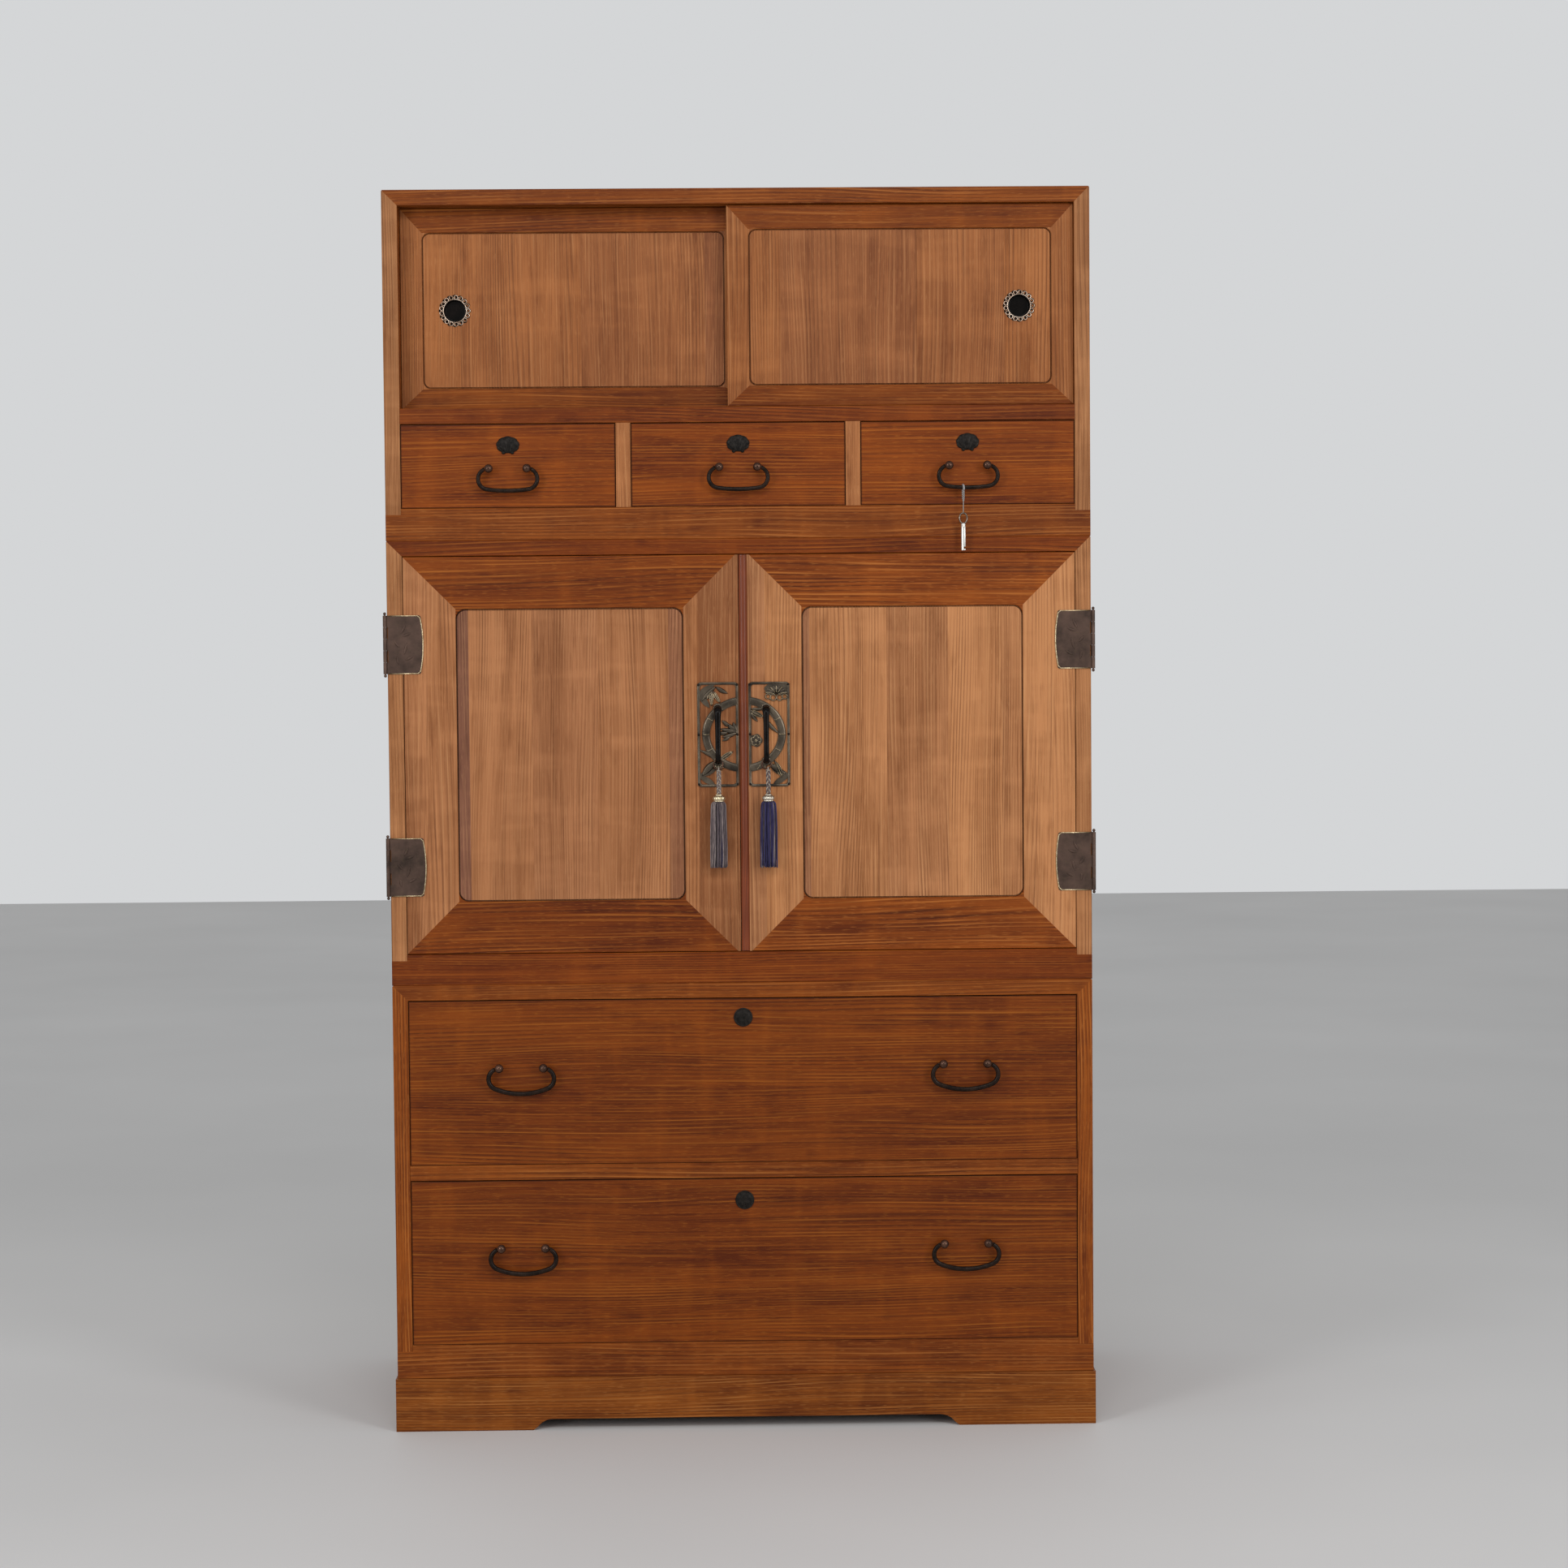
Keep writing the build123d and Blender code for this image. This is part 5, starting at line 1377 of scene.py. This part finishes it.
def makeFloor():
    bm = bmesh.new()
    bmesh.ops.create_grid(bm, x_segments=1, y_segments=1, size=9.0)
    mesh = bpy.data.meshes.new("floor")
    bm.to_mesh(mesh)
    bm.free()
    floor = bpy.data.objects.new("floor", mesh)
    scene.collection.objects.link(floor)
    material, nodes, shader, point = newMaterial("floorPaint")
    shade = nodes.remap(nodes.noise(point, (0.8, 0.8, 0.8), 3.0), 0.3, 0.7)
    color = nodes.mix(shade, (0.6, 0.6, 0.6, 1), (0.66, 0.66, 0.66, 1))
    nodes.feed(shader, {"Base Color": color, "Roughness": 0.7})
    mesh.materials.append(material)


def makeLamp(name, look):
    light = bpy.data.lights.new(name, "AREA")
    light.shape = "RECTANGLE"
    light.size, light.size_y = look["size"]
    light.energy = look["power"]
    lamp = bpy.data.objects.new(name, light)
    lamp.location = look["place"]
    lamp.rotation_euler = (Vector(look["aim"]) - lamp.location).to_track_quat("-Z", "Y").to_euler()
    scene.collection.objects.link(lamp)


def makeWorld():
    world = bpy.data.worlds.new("studio")
    scene.world = world
    world.use_nodes = True
    world.node_tree.nodes.clear()
    nodes = Graph(world.node_tree)
    ray = nodes.add("LightPath").outputs
    lit = nodes.add("Background", {"Color": (1, 1, 1, 1), "Strength": 0.5}).outputs[0]
    seen = nodes.add("Background", {"Color": (0.66, 0.67, 0.68, 1), "Strength": 1.0}).outputs[0]
    mirrored = nodes.math("MAXIMUM", ray["Is Glossy Ray"], ray["Is Transmission Ray"])
    share = nodes.math("MAXIMUM", ray["Is Camera Ray"], mirrored)
    nodes.add("OutputWorld", {0: nodes.add("MixShader", {0: share, 1: lit, 2: seen}).outputs[0]})


def makeCamera():
    pitch, yaw, roll = (radians(photoView[part]) for part in ("pitch", "yaw", "roll"))
    forward = Vector((sin(yaw) * cos(pitch), cos(yaw) * cos(pitch), -sin(pitch)))
    right = Vector((cos(yaw), -sin(yaw), 0))
    up = right.cross(forward)
    rolled = (right * cos(roll) + up * sin(roll), up * cos(roll) - right * sin(roll), -forward)
    columns = Matrix(rolled).transposed()
    data = bpy.data.cameras.new("photoCamera")
    data.sensor_width = sensorWidth
    data.lens = focalPixels / photoPixels * sensorWidth
    camera = bpy.data.objects.new("photoCamera", data)
    place = (photoView["x"], frontY - photoView["away"], photoView["z"])
    camera.matrix_world = Matrix.Translation(place) @ columns.to_4x4()
    scene.collection.objects.link(camera)
    scene.camera = camera


makeFloor()
for name, look in lamps.items():
    makeLamp(name, look)
makeWorld()
makeCamera()
scene.view_settings.view_transform = "Standard"

print("scene ready")
